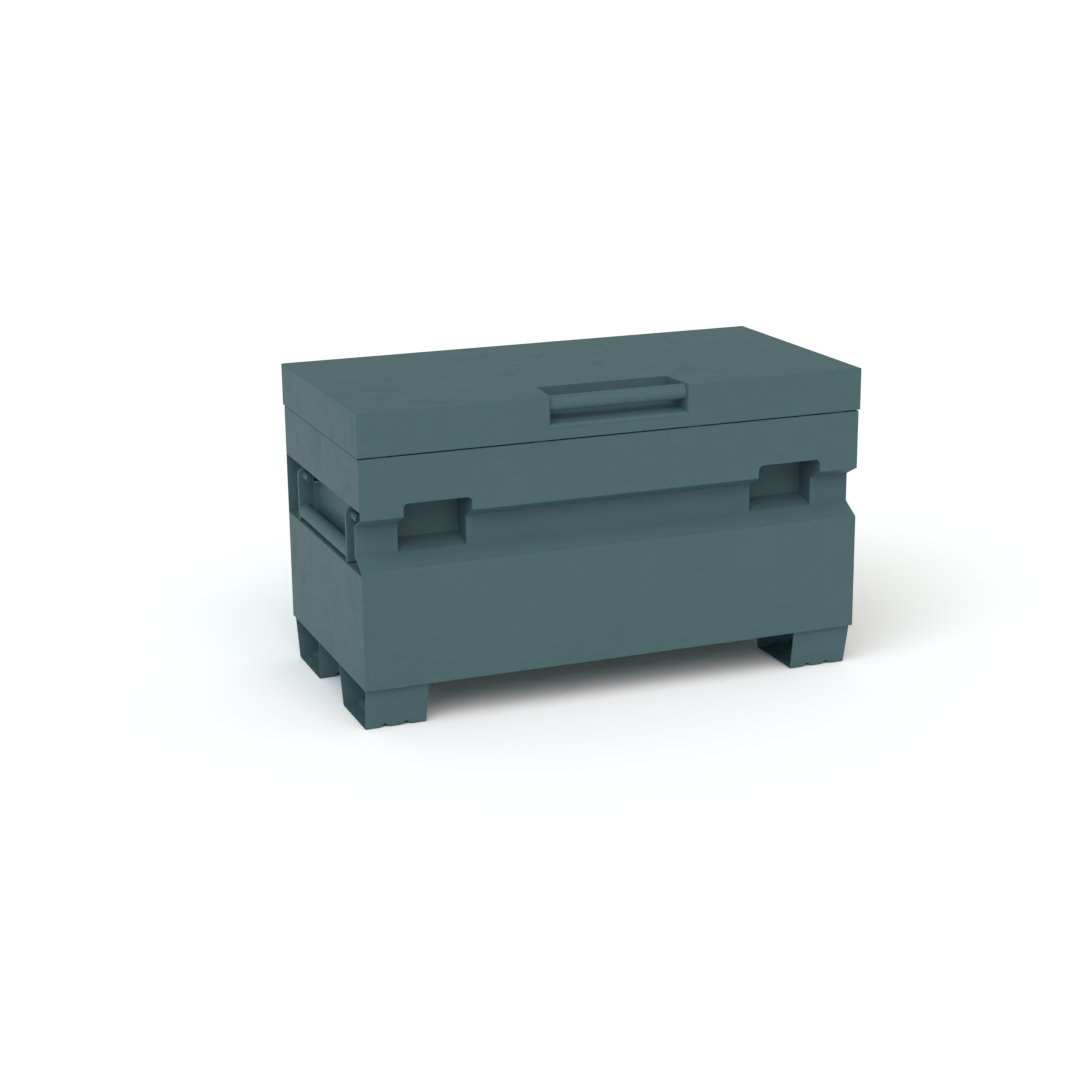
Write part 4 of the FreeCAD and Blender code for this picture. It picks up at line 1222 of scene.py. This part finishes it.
@dataclass
class SideHandle(Assembly):
    """One drop handle: flat arms with their pins, a welded grip tube, and the body's barrels."""

    side: Side = Side.LEFT
    bead: Weld = Weld(radius=2.6 * MM, pitch=2.6 * MM)
    small_bead: Weld = Weld(radius=1.8 * MM, pitch=2.2 * MM)
    arm_thickness: float = 9 * MM
    arm_edge: float = 0.9 * MM
    pin_radius: float = 6 * MM
    pin_edge: float = 1.2 * MM
    barrel_radius: float = 9 * MM
    barrel_edge: float = 0.5 * MM
    barrel_gap: float = 0.6 * MM
    bore: float = 6.08 * MM
    mouth: float = 1.3 * MM
    shelf_sheet: float = 4 * MM
    shelf_edge: float = 0.5 * MM
    knee: float = 0.3
    arc_steps: int = 33
    bead_sink: float = 0.4

    def build(self) -> None:
        """Forges the arms and barrels, and welds grip to arms and barrels to the body."""
        name = self.side.word
        self.soften(name + "_handle_grip", PAINT, EdgeBreak(fold=1.3 * MM, cut=0.6 * MM, segments=3))
        for end in End:
            node = f"{name}_handle_{end.word}_arm"
            self.add(self._arm(node), node + "_finished", name + "_handle", PAINT, node)
        self.add(self._barrels(), name + "_pivot_barrels_finished", "chest", PAINT, name + "_pivot_barrels")
        self.add(self._grip_rings(), name + "_grip_welds", name + "_handle", PAINT)
        self.add(self._barrel_beads(), name + "_barrel_welds", "chest", PAINT)

    def _pivot(self, node: str) -> tuple[float, float, float]:
        """Where an arm turns: the middle of its round top.

        Args:
            node: the arm's node.

        Returns:
            Its place across the box, its height and the top's radius.
        """
        low, high = self.corners(node)
        radius = (high[0] - low[0]) / 2
        return (low[0] + high[0]) / 2, high[2] - radius, radius

    def _arm(self, node: str) -> Shape:
        """A flat bar, round at its top, with the pin that turns in the barrel.

        The outline is two straight sides and a half circle; the pin is a profile turned
        about the pivot's axis, sunk a quarter of the arm's thickness into the bar.

        Args:
            node: the arm's node.

        Returns:
            The arm and its pin as one shape.
        """
        low, high = self.corners(node)
        x, z, radius = self._pivot(node)
        turn = np.linspace(0, np.pi, self.arc_steps)[:, None]
        top = np.array([x, z]) + radius * np.concatenate([np.cos(turn), np.sin(turn)], axis=1)
        outline = np.concatenate([[[low[0], low[2]], [high[0], low[2]]], top])
        face = high[1] - self.arm_thickness
        shape = Shape().skin(slab(outline, face, high[1], self.arm_edge, axis=1))
        reach = face + self.arm_thickness / 4 - low[1]
        profile = [
            (0.0, self.pin_radius - self.pin_edge),
            (self.knee * self.pin_edge, self.pin_radius - self.knee * self.pin_edge),
            (self.pin_edge, self.pin_radius),
            (reach, self.pin_radius),
        ]
        return shape.skin(turned(np.array(profile), (x, low[1], z), (0, 1, 0)))

    def _barrels(self) -> Shape:
        """Both bored barrels with their shelves.

        A barrel is a closed profile of its wall turned about the pivot's axis.

        Returns:
            Barrels and shelves as one shape.
        """
        shape = Shape()
        for end in End:
            start, length, _ = self._barrel_span(end)
            x, z, _ = self._pivot(f"{self.side.word}_handle_{end.word}_arm")
            radius, edge, knee = self.barrel_radius, self.barrel_edge, self.knee
            profile = [
                (0.0, radius - edge),
                (knee * edge, radius - knee * edge),
                (edge, radius),
                (length - edge, radius),
                (length - knee * edge, radius - knee * edge),
                (length, radius - edge),
                (length, self.bore + edge),
                (length - edge, self.bore),
                (self.mouth, self.bore),
                (0.0, self.bore + self.mouth),
            ]
            shape.skin(turned(np.array(profile), (x, start, z), (0, 1, 0)), loop=True)
            low, high = self._shelf_levels(end)
            shape.skin(slab(self._shelf_outline(end), low, high, self.shelf_edge, axis=2))
        return shape

    def _barrel_span(self, end: End) -> tuple[float, float, float]:
        """Where a barrel lies along the box, and the wall behind it.

        Args:
            end: the end of the handle.

        Returns:
            Where the barrel starts, how long it is, and where the recessed wall stands.
        """
        low, high = self.corners(f"{self.side.word}_handle_{end.word}_arm")
        length = high[1] - self.arm_thickness - self.barrel_gap - low[1]
        barrels = self.corners(self.side.word + "_pivot_barrels")
        wall = self.side.value * min(abs(barrels[0][0]), abs(barrels[1][0]))
        return low[1], length, wall

    def _shelf_levels(self, end: End) -> tuple[float, float]:
        """Underside and top of a barrel's shelf, which stops at the foot of the bore.

        Args:
            end: the end of the handle.

        Returns:
            The two heights.
        """
        _, pivot, _ = self._pivot(f"{self.side.word}_handle_{end.word}_arm")
        top = pivot - self.bore
        return top - self.shelf_sheet, top

    def _shelf_outline(self, end: End) -> np.ndarray:
        """The shelf from above: wide at the wall, and slanting in to the barrel at the front.

        Args:
            end: the end of the handle.

        Returns:
            Corners shaped (4, 2).
        """
        start, length, wall = self._barrel_span(end)
        x, _, _ = self._pivot(f"{self.side.word}_handle_{end.word}_arm")
        back = start + length
        return np.array([(wall, start - length / 4), (x, start + length / 4), (x, back), (wall, back)])

    def _grip_rings(self) -> Shape:
        """A bead round each end of the grip.

        Returns:
            The beads as one shape.
        """
        shape = Shape()
        low, high = self.corners(self.side.word + "_handle_grip")
        middle = (low + high) / 2
        radius = (high[2] - low[2]) / 2
        for y in (low[1], high[1]):
            self.bead.ring(shape, (middle[0], y, middle[2]), (0, 1, 0), radius - self.bead_sink * self.bead.radius)
        return shape

    def _barrel_beads(self) -> Shape:
        """Beads over and under each shelf, along its joint with the wall.

        Returns:
            The beads as one shape.
        """
        shape = Shape()
        for end in End:
            start, length, wall = self._barrel_span(end)
            ends = (start + 2 * self.small_bead.radius, start + length - 4 * self.small_bead.radius)
            for level, rise in zip(self._shelf_levels(end), (-1, 1)):
                first, last = ((wall, y, level) for y in ends)
                self.small_bead.run(shape, first, last, (self.side.value, 0, rise))
        return shape


@dataclass
class Lid(Assembly):
    """Folded lid with its hand pocket and grip tube, stiffeners and lock blades."""

    bead: Weld = Weld(radius=2.6 * MM, pitch=2.6 * MM)
    stitch: Weld = Weld(radius=2.0 * MM)
    stitch_length: float = 30 * MM
    stitch_pitch: float = 130 * MM
    pocket_lean: float = 8 / 101.5
    crown: float = 6 * MM
    sideways: float = 0.5
    bead_sink: float = 0.3

    def build(self) -> None:
        """Softens the sheets and lays the lid's welds."""
        self.soften("lid_shell", PAINT, EdgeBreak(fold=1.6 * MM, rule=self._crown_rule))
        self.soften("lid_hand_pocket", PAINT)
        self.soften("lid_handle_tube", PAINT)
        for side in Side:
            self.soften(side.word + "_lid_stiffener", PAINT)
            self.soften(side.word + "_lid_strut_bracket", PAINT)
        self.soften("lid_hasps", PAINT)
        self.add(self._tube_rings(), "lid_tube_welds", "lid", PAINT)
        self.add(self._stitches(), "stiffener_welds", "lid", PAINT)

    def _crown_rule(self, middle: np.ndarray, one: np.ndarray, other: np.ndarray) -> np.ndarray:
        """Leaves the opening's edges unbroken where they cross the lid's rounded front edge.

        Args:
            middle: the middle of each edge.
            one: normal of one face beside each edge.
            other: normal of the other face.

        Returns:
            The width for each edge, or nan where the usual width holds.
        """
        low, high = self.corners("lid_shell")
        crossing = (middle[:, 1] < low[1] + self.crown) & (middle[:, 2] > high[2] - self.crown)
        crossing &= np.abs(middle[:, 0]) < high[0] - self.crown
        crossing &= (np.abs(one[:, 0]) > self.sideways) | (np.abs(other[:, 0]) > self.sideways)
        return np.where(crossing, 0.0, np.nan)

    def _tube_rings(self) -> Shape:
        """A bead round each end of the grip tube, on the slanting end walls.

        Returns:
            The beads as one shape.
        """
        shape = Shape()
        low, high = self.corners("lid_handle_tube")
        radius = (high[2] - low[2]) / 2
        for side in Side:
            x = side.value * (high[0] - self.pocket_lean * radius)
            centre = (x, (low[1] + high[1]) / 2, (low[2] + high[2]) / 2)
            lean = self.pocket_lean * side.value
            self.bead.ring(shape, centre, (1, 0, 0), radius - self.bead_sink * self.bead.radius, -lean)
        return shape

    def _stitches(self) -> Shape:
        """Short beads along both flanges of every stiffener.

        Returns:
            The beads as one shape.
        """
        shape = Shape()
        for side in Side:
            low, high = self.corners(side.word + "_lid_stiffener")
            count = int((high[1] - low[1]) // self.stitch_pitch)
            gap = (high[1] - low[1]) / count
            for x, away in ((low[0], -1), (high[0], 1)):
                for index in range(count):
                    middle = low[1] + gap * (index + 0.5)
                    start = (x, middle - self.stitch_length / 2, high[2])
                    end = (x, middle + self.stitch_length / 2, high[2])
                    self.stitch.run(shape, start, end, (away, 0, -1))
        return shape


@dataclass
class Hinge(Assembly):
    """Full-length hinge: many short knuckles, two spot-welded leaves and the pin."""

    pitch: float = 25.6 * MM
    gap: float = 0.5 * MM
    chamfer: float = 0.4 * MM
    barrel: float = 4.5 * MM
    bore: float = 2.58 * MM
    leaf_gap: float = 0.5 * MM
    leaf_sheet: float = 1.9 * MM
    knuckle_steps: int = 28
    spot_pitch: float = 46 * MM
    spot_radius: float = 3.2 * MM
    spot_height: float = 0.25 * MM
    spot_root: float = 0.3 * MM
    spot_steps: int = 14
    spot_crown: tuple[tuple[float, float], ...] = (
        (0.0, 1.0), (-0.6, 0.86), (-1.0, 0.6), (-0.7, 0.3), (-0.6, 0.05),
    )

    def build(self) -> None:
        """Builds both leaves with their knuckles, and softens the pin."""
        body_low, body_high = self.corners("hinge_body_leaf")
        lid_low, lid_high = self.corners("hinge_lid_leaf")
        pin_low, pin_high = self.corners("hinge_pin")
        axis = (pin_low + pin_high) / 2
        half = pin_high[0]
        count = round(2 * half / self.pitch) | 1
        edges = np.linspace(-half, half, count + 1)
        leaf_y = body_low[1]
        leaf_back = leaf_y + self.leaf_sheet
        near = self.barrel + self.leaf_gap
        plates = (
            ("hinge_body_leaf", "chest", 0, body_low[2], axis[2] - near, leaf_y, leaf_back),
            ("hinge_lid_leaf", "lid", 1, axis[2] + near, lid_high[2], lid_low[1], lid_low[1] + self.leaf_sheet),
        )
        for node, body, first, low, high, front, back in plates:
            shape = Shape()
            self._plate(shape, (-half, front, low), (half, back, high))
            toward = 1 if first else -1
            for index in range(first, count, 2):
                start, end = edges[index] + self.gap / 2, edges[index + 1] - self.gap / 2
                self._knuckle(shape, axis, start, end)
                neck = axis[2] + toward * (self.barrel + 2 * self.bore) / 3
                edge = low if first else high
                bottom, top = min(neck, edge), max(neck, edge)
                self._plate(shape, (start, front, bottom), (end, back, top))
            self._spots(shape, half, front, (low + high) / 2)
            self.add(shape, node + "_rolled", body, PAINT, node)
        self.soften("hinge_pin", ZINC, EdgeBreak(fold=0.8 * MM, cut=0.8 * MM))

    def _plate(self, shape: Shape, low: tuple, high: tuple) -> None:
        """Adds a flat bar with its long edges broken: an eight-cornered section carried along X.

        Args:
            shape: receives the bar.
            low: its lowest corner.
            high: its highest corner.
        """
        (x0, y0, z0), (x1, y1, z1) = low, high
        cut = self.chamfer / 2
        section = np.array(
            [
                (y0 + cut, z0), (y1 - cut, z0), (y1, z0 + cut), (y1, z1 - cut),
                (y1 - cut, z1), (y0 + cut, z1), (y0, z1 - cut), (y0, z0 + cut),
            ]
        )
        rings = np.empty((2, len(section), 3))
        rings[:, :, 0] = np.array([x0, x1])[:, None]
        rings[:, :, 1:] = section[None]
        shape.skin(rings)

    def _knuckle(self, shape: Shape, axis: np.ndarray, start: float, end: float) -> None:
        """Adds a rolled knuckle: a ring with broken edges, turned about the pin.

        Args:
            shape: receives the knuckle.
            axis: a point on the pin's axis.
            start: where the knuckle starts along X.
            end: where it ends.
        """
        cut = self.chamfer
        profile = np.array(
            [
                (start, self.bore + cut), (start, self.barrel - cut), (start + cut, self.barrel),
                (end - cut, self.barrel), (end, self.barrel - cut), (end, self.bore + cut),
                (end - cut, self.bore), (start + cut, self.bore),
            ]
        )
        shape.skin(turned(profile, np.array([0.0, axis[1], axis[2]]), X_AXIS, self.knuckle_steps), loop=True)

    def _spots(self, shape: Shape, half: float, front: float, middle: float) -> None:
        """Adds spot welds on the leaf's open face: shallow round crowns in a row.

        Each is a profile turned about Y. Its (height, radius) pairs are shares of the
        spot's height and radius, after a root that is sunk into the leaf.

        Args:
            shape: receives the spots.
            half: half the hinge's length.
            front: the leaf's open face.
            middle: height of the row.
        """
        count = int(2 * half // self.spot_pitch)
        crown = np.array(self.spot_crown) * (self.spot_height, self.spot_radius)
        profile = np.concatenate([[(self.spot_root, self.spot_radius)], crown])
        for x in np.linspace(-half, half, 2 * count + 1)[1::2]:
            shape.skin(turned(profile, np.array([x, front, middle]), Y_AXIS, self.spot_steps))


@dataclass
class GasStrut(Assembly):
    """One gas strut: rolled cylinder, plated rod, end eyes, and its brackets."""

    side: Side = Side.LEFT
    radius_from_hinge: float = 250 * MM
    rise: float = math.radians(8)
    spread: float = math.radians(70)
    tube_radius: float = 11 * MM
    rod_radius: float = 5 * MM
    eye_length: float = 22 * MM
    eye_radius: float = 9 * MM
    eye_width: float = 10 * MM
    bore: float = 4.08 * MM
    end_gap: float = 3.1 * MM
    bead: Weld = Weld(radius=2.0 * MM, pitch=2.4 * MM)
    bead_margin: float = 4 * MM
    slack: float = 0.4 * MM
    foot_bend: float = 2 * MM
    crimp_back: float = 9 * MM
    crimp_width: float = 4 * MM
    crimp_depth: float = 0.9 * MM
    lip_bend: float = 3 * MM
    mouth_cut: float = 1 * MM
    floor: float = 2.4 * MM
    floor_dish: float = 2.2 * MM
    inner_pole: float = 0.3 * MM
    outer_pole: float = 0.5 * MM
    bend_steps: int = 7
    crimp_steps: int = 9
    rod_cut: float = 0.6 * MM
    eye_cut: float = 0.8 * MM
    eye_steps: int = 64
    tube_steps: int = 48
    rod_steps: int = 32

    def build(self) -> None:
        """Builds cylinder and rod on the line between the two pivots."""
        name = self.side.word
        low_pivot, high_pivot = self._pivots()
        line = unit(high_pivot - low_pivot)
        reach = float(np.linalg.norm(high_pivot - low_pivot))
        tube_end = self._cylinder_length(low_pivot, line)
        cylinder, rod = name + "_strut_cylinder", name + "_strut_rod"
        tube = Shape().skin(turned(self._tube_profile(tube_end), low_pivot, line, self.tube_steps))
        self.add(tube, cylinder + "_tube", cylinder, BLACK_TUBE, cylinder)
        self.add(self._eye(low_pivot, line, X_AXIS), cylinder + "_eye", cylinder, ZINC)
        start = self.eye_length + self.end_gap
        profile = self._rod_profile(start, reach - self.eye_length)
        bar = Shape().skin(turned(profile, low_pivot, line, self.rod_steps))
        self.add(bar, rod + "_bar", rod, ROD, rod)
        self.add(self._eye(high_pivot, -line, X_AXIS), rod + "_eye", rod, ZINC)
        self.soften(name + "_body_strut_bracket", PAINT)
        self.add(self._bracket_welds(), name + "_bracket_welds", "chest", PAINT)

    def _pivots(self) -> tuple[np.ndarray, np.ndarray]:
        """Body pivot and lid pivot, both at the same distance from the hinge's axis.

        Returns:
            The two points.
        """
        pin_low, pin_high = self.corners("hinge_pin")
        axis = (pin_low + pin_high) / 2
        box = self.corners(self.side.word + "_strut_cylinder")
        x = (box[0][0] + box[1][0]) / 2
        dip = self.spread - self.rise
        reach = self.radius_from_hinge
        low = np.array([x, axis[1] - reach * math.cos(dip), axis[2] - reach * math.sin(dip)])
        high = np.array([x, axis[1] - reach * math.cos(self.rise), axis[2] + reach * math.sin(self.rise)])
        return low, high

    def _cylinder_length(self, pivot: np.ndarray, line: np.ndarray) -> float:
        """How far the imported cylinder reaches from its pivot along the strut."""
        points = read(self.nodes[self.side.word + "_strut_cylinder"].data.vertices, "co", 3)
        return float(((points - pivot) @ line).max())

    def _tube_profile(self, end: float) -> np.ndarray:
        """Closed bottom, straight wall, a crimped groove, and the rolled mouth with its bore.

        Bends are quarter circles, and the crimp is a half wave of a sine.

        Args:
            end: the cylinder's mouth, measured from its pivot.

        Returns:
            (distance, radius) pairs.
        """
        start, wide, hole = self.eye_length, self.tube_radius, self.rod_radius + self.slack
        mouth = end - self.crimp_back
        roll = np.linspace(0, np.pi / 2, self.bend_steps)
        quarter = np.stack([1 - np.sin(roll), 1 - np.cos(roll)], axis=1)
        foot = (np.array([start, wide]) + np.array([1, -1]) * (self.foot_bend * quarter))[::-1]
        groove = np.linspace(0, np.pi, self.crimp_steps)
        crimp_along = mouth - self.crimp_width + self.crimp_width * groove / np.pi
        crimp = np.stack([crimp_along, wide - self.crimp_depth * np.sin(groove)], axis=1)
        lip = np.array([end, wide]) - self.lip_bend * quarter
        inner = np.array([
            (end, hole + self.mouth_cut),
            (end - self.mouth_cut, hole),
            (start + self.floor, hole),
            (start + self.floor_dish, self.inner_pole),
        ])
        centre = np.array([(start, self.outer_pole)])
        foot_low = np.array([(start, wide - self.lip_bend)])
        return np.concatenate([centre, foot_low, foot, crimp, lip, inner])

    def _rod_profile(self, start: float, end: float) -> np.ndarray:
        """A straight bar with chamfered ends."""
        wide, cut = self.rod_radius, self.rod_cut
        return np.array([(start, wide - cut), (start + cut, wide), (end - cut, wide), (end, wide - cut)])

    def _eye(self, pivot: np.ndarray, line: np.ndarray, across: np.ndarray) -> Shape:
        """A flat eye: a rounded bar with a bore.

        The outline is a half circle round the pivot that runs on into two straight
        sides. A point of the wall is outline moved in by the edge's rounding and placed
        at a level across the bar; the same steps lead round the bore and back.

        Args:
            pivot: middle of the bore.
            line: direction from the pivot to the strut.
            across: direction of the bore.

        Returns:
            The eye as a shape.
        """
        shape = Shape()
        angle = np.linspace(0, 2 * np.pi, self.eye_steps, endpoint=False)
        along, over = np.cos(angle), np.sin(angle)
        ahead, reach, radius = along > 0, self.eye_length, self.eye_radius
        stretch = np.where(ahead, reach / np.maximum(np.abs(along), radius / reach), 0)
        outline_along = np.where(ahead, np.minimum(along * stretch, reach), radius * along)
        outline_over = np.where(ahead, np.clip(over * stretch, -radius, radius), radius * over)
        side = unit(np.cross(across, line))
        cut, half = self.eye_cut, self.eye_width / 2
        steps = [(1, cut, -half), (1, 0.0, cut - half), (1, 0.0, half - cut), (1, cut, half),
                 (0, -cut, half), (0, 0.0, half - cut), (0, 0.0, cut - half), (0, -cut, -half)]
        rings = []
        for outer, inset, level in steps:
            if outer:
                shrink = 1 - inset / radius
                a, o = outline_along * np.where(ahead, 1.0, shrink), outline_over * shrink
            else:
                a, o = (self.bore - inset) * along, (self.bore - inset) * over
            rings.append(pivot + a[:, None] * line + o[:, None] * side + level * across)
        return shape.skin(np.array(rings), loop=True)

    def _bracket_welds(self) -> Shape:
        """Upright beads on both sides of the body's bracket.

        Returns:
            The beads as one shape.
        """
        shape = Shape()
        low, high = self.corners(self.side.word + "_body_strut_bracket")
        wall = self.side.value * max(abs(low[0]), abs(high[0]))
        for y, away in ((low[1], -1), (high[1], 1)):
            start, end = (wall, y, low[2] + self.bead_margin), (wall, y, high[2] - self.bead_margin)
            self.bead.run(shape, start, end, (-self.side.value, away, 0))
        return shape


@dataclass
class RimBumpers(Assembly):
    """Rubber pads on the rim."""

    centres: int = 4
    length: float = 30 * MM
    power: float = 0.28
    sides: int = 40
    levels: int = 17
    pole: float = 0.02

    def build(self) -> None:
        """Builds the pads as rounded blocks.

        Point = centre + half size · signed power of (cos lat cos turn, cos lat sin turn, sin lat).
        """
        low, high = self.corners("rim_bumpers")
        middle, half = (low + high) / 2, (high - low) / 2
        size = np.array([self.length / 2, half[1], half[2]])
        outer = high[0] - self.length / 2
        turn = np.linspace(0, 2 * np.pi, self.sides, endpoint=False)[None, :]
        lat = np.linspace(-np.pi / 2 + self.pole, np.pi / 2 - self.pole, self.levels)[:, None]

        def signed(value: np.ndarray) -> np.ndarray:
            """A power of the size that keeps the sign."""
            return np.sign(value) * np.abs(value) ** self.power

        ball = np.stack(
            [signed(np.cos(lat)) * signed(np.cos(turn)), signed(np.cos(lat)) * signed(np.sin(turn)),
             signed(np.sin(lat)) * np.ones_like(turn)], axis=-1)
        shape = Shape()
        for x in np.linspace(-outer, outer, self.centres):
            shape.skin(np.array([x, middle[1], middle[2]]) + ball * size)
        self.add(shape, "rim_bumpers_moulded", "chest", RUBBER, "rim_bumpers")


@dataclass(frozen=True)
class Studio:
    """Plain pale floor, soft light and the camera at the photograph's angle."""

    camera_spot: Point = (-1.87123, -4.6293, 1.71023)
    right: Point = (0.9303730, -0.3664873, -0.0096477)
    down: Point = (-0.1088055, -0.2508948, -0.9618800)
    forward: Point = (0.3500962, 0.8959570, -0.2733016)
    sensor: float = 36.0
    focal_pixels: float = 2155.65
    frame_pixels: float = 1090.0
    floor_radius: float = 120.0
    floor_rings: int = 8
    floor_sides: int = 96
    floor_start: float = 0.05
    sky: Colour = (0.90, 1.0, 0.97, 1.0)
    sky_strength: float = 0.58
    suns: tuple[tuple[str, Point, float, float, Point], ...] = (
        ("corner_sun", (-1.0, -0.8, 1.1), 1.70, 50.0, (0.84, 0.94, 1.0)),
        ("front_sun", (0.0, -1.0, 1.0), 1.25, 40.0, (1.0, 0.80, 0.76)),
    )

    def build(self) -> None:
        """Lays the floor, lights it and sets the camera."""
        self._lay_floor()
        self._light()
        self._set_camera()
        view = bpy.context.scene.view_settings
        view.view_transform = "Standard"
        view.look = "None"

    def _lay_floor(self) -> None:
        """A round sheet: rings whose radius grows as a power of their number."""
        grid = (self.floor_rings, self.floor_sides)
        angle = np.linspace(0, 2 * np.pi, self.floor_sides, endpoint=False)
        radii = self.floor_radius * np.linspace(self.floor_start, 1, self.floor_rings) ** 2
        rings = np.stack([np.outer(radii, np.cos(angle)), np.outer(radii, np.sin(angle)), np.zeros(grid)], axis=-1)
        index = np.arange(self.floor_rings * self.floor_sides).reshape(grid)
        low, high = index[:-1], index[1:]
        quads = np.stack([low, high, np.roll(high, -1, axis=1), np.roll(low, -1, axis=1)], axis=-1)
        mesh = bpy.data.meshes.new("floor")
        mesh.from_pydata(rings.reshape(-1, 3), [], quads.reshape(-1, 4).tolist() + [index[0].tolist()])
        floor = bpy.data.objects.new("floor", mesh)
        bpy.context.scene.collection.objects.link(floor)
        mesh.materials.append(FLOOR.material())

    def _light(self) -> None:
        """An even sky and wide soft suns, so that no light falls off across the floor."""
        world = bpy.data.worlds.new("studio")
        bpy.context.scene.world = world
        world.use_nodes = True
        graph = Graph(world.node_tree)
        sky = graph.node("ShaderNodeBackground", inputs={"Color": self.sky, "Strength": self.sky_strength})
        graph.node("ShaderNodeOutputWorld", inputs={"Surface": sky})
        for name, toward, strength, spread, colour in self.suns:
            light = bpy.data.lights.new(name, "SUN")
            light.energy = strength
            light.angle = math.radians(spread)
            light.color = colour
            lamp = bpy.data.objects.new(name, light)
            bpy.context.scene.collection.objects.link(lamp)
            lamp.rotation_euler = Vector(toward).to_track_quat("Z", "Y").to_euler()

    def _set_camera(self) -> None:
        """The camera, from its place and the directions of its own axes."""
        lens = bpy.data.cameras.new("camera")
        lens.sensor_width = self.sensor
        lens.lens = self.focal_pixels * self.sensor / self.frame_pixels
        lens.clip_end = 2 * self.floor_radius
        camera = bpy.data.objects.new("camera", lens)
        bpy.context.scene.collection.objects.link(camera)
        columns = [self.right, [-value for value in self.down], [-value for value in self.forward]]
        turn = Matrix(columns).transposed().to_4x4()
        camera.matrix_world = Matrix.Translation(self.camera_spot) @ turn
        bpy.context.scene.camera = camera


def main() -> None:
    logging.basicConfig(level=logging.INFO, format="%(message)s")
    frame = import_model()
    nodes = frame["nodes"]
    bodies = {node: body for body, names in frame["record"]["behaviour"]["bodies"].items() for node in names}
    assemblies: list[Assembly] = [
        Chest(nodes, bodies),
        LockPockets(nodes, bodies),
        Feet(nodes, bodies),
        Lid(nodes, bodies),
        Hinge(nodes, bodies),
        RimBumpers(nodes, bodies),
    ]
    for side in Side:
        assemblies.append(SideHandle(nodes, bodies, side=side))
        assemblies.append(GasStrut(nodes, bodies, side=side))
    for assembly in assemblies:
        assembly.build()
        for piece in assembly.pieces:
            LOG.info("%s: %s, %d faces", type(assembly).__name__, piece.name, len(piece.data.polygons))
    for node in ("body_strut_studs", "lid_strut_studs"):
        ZINC.dress_node(nodes[node])
    Studio().build()


if __name__ == "__main__":
    main()
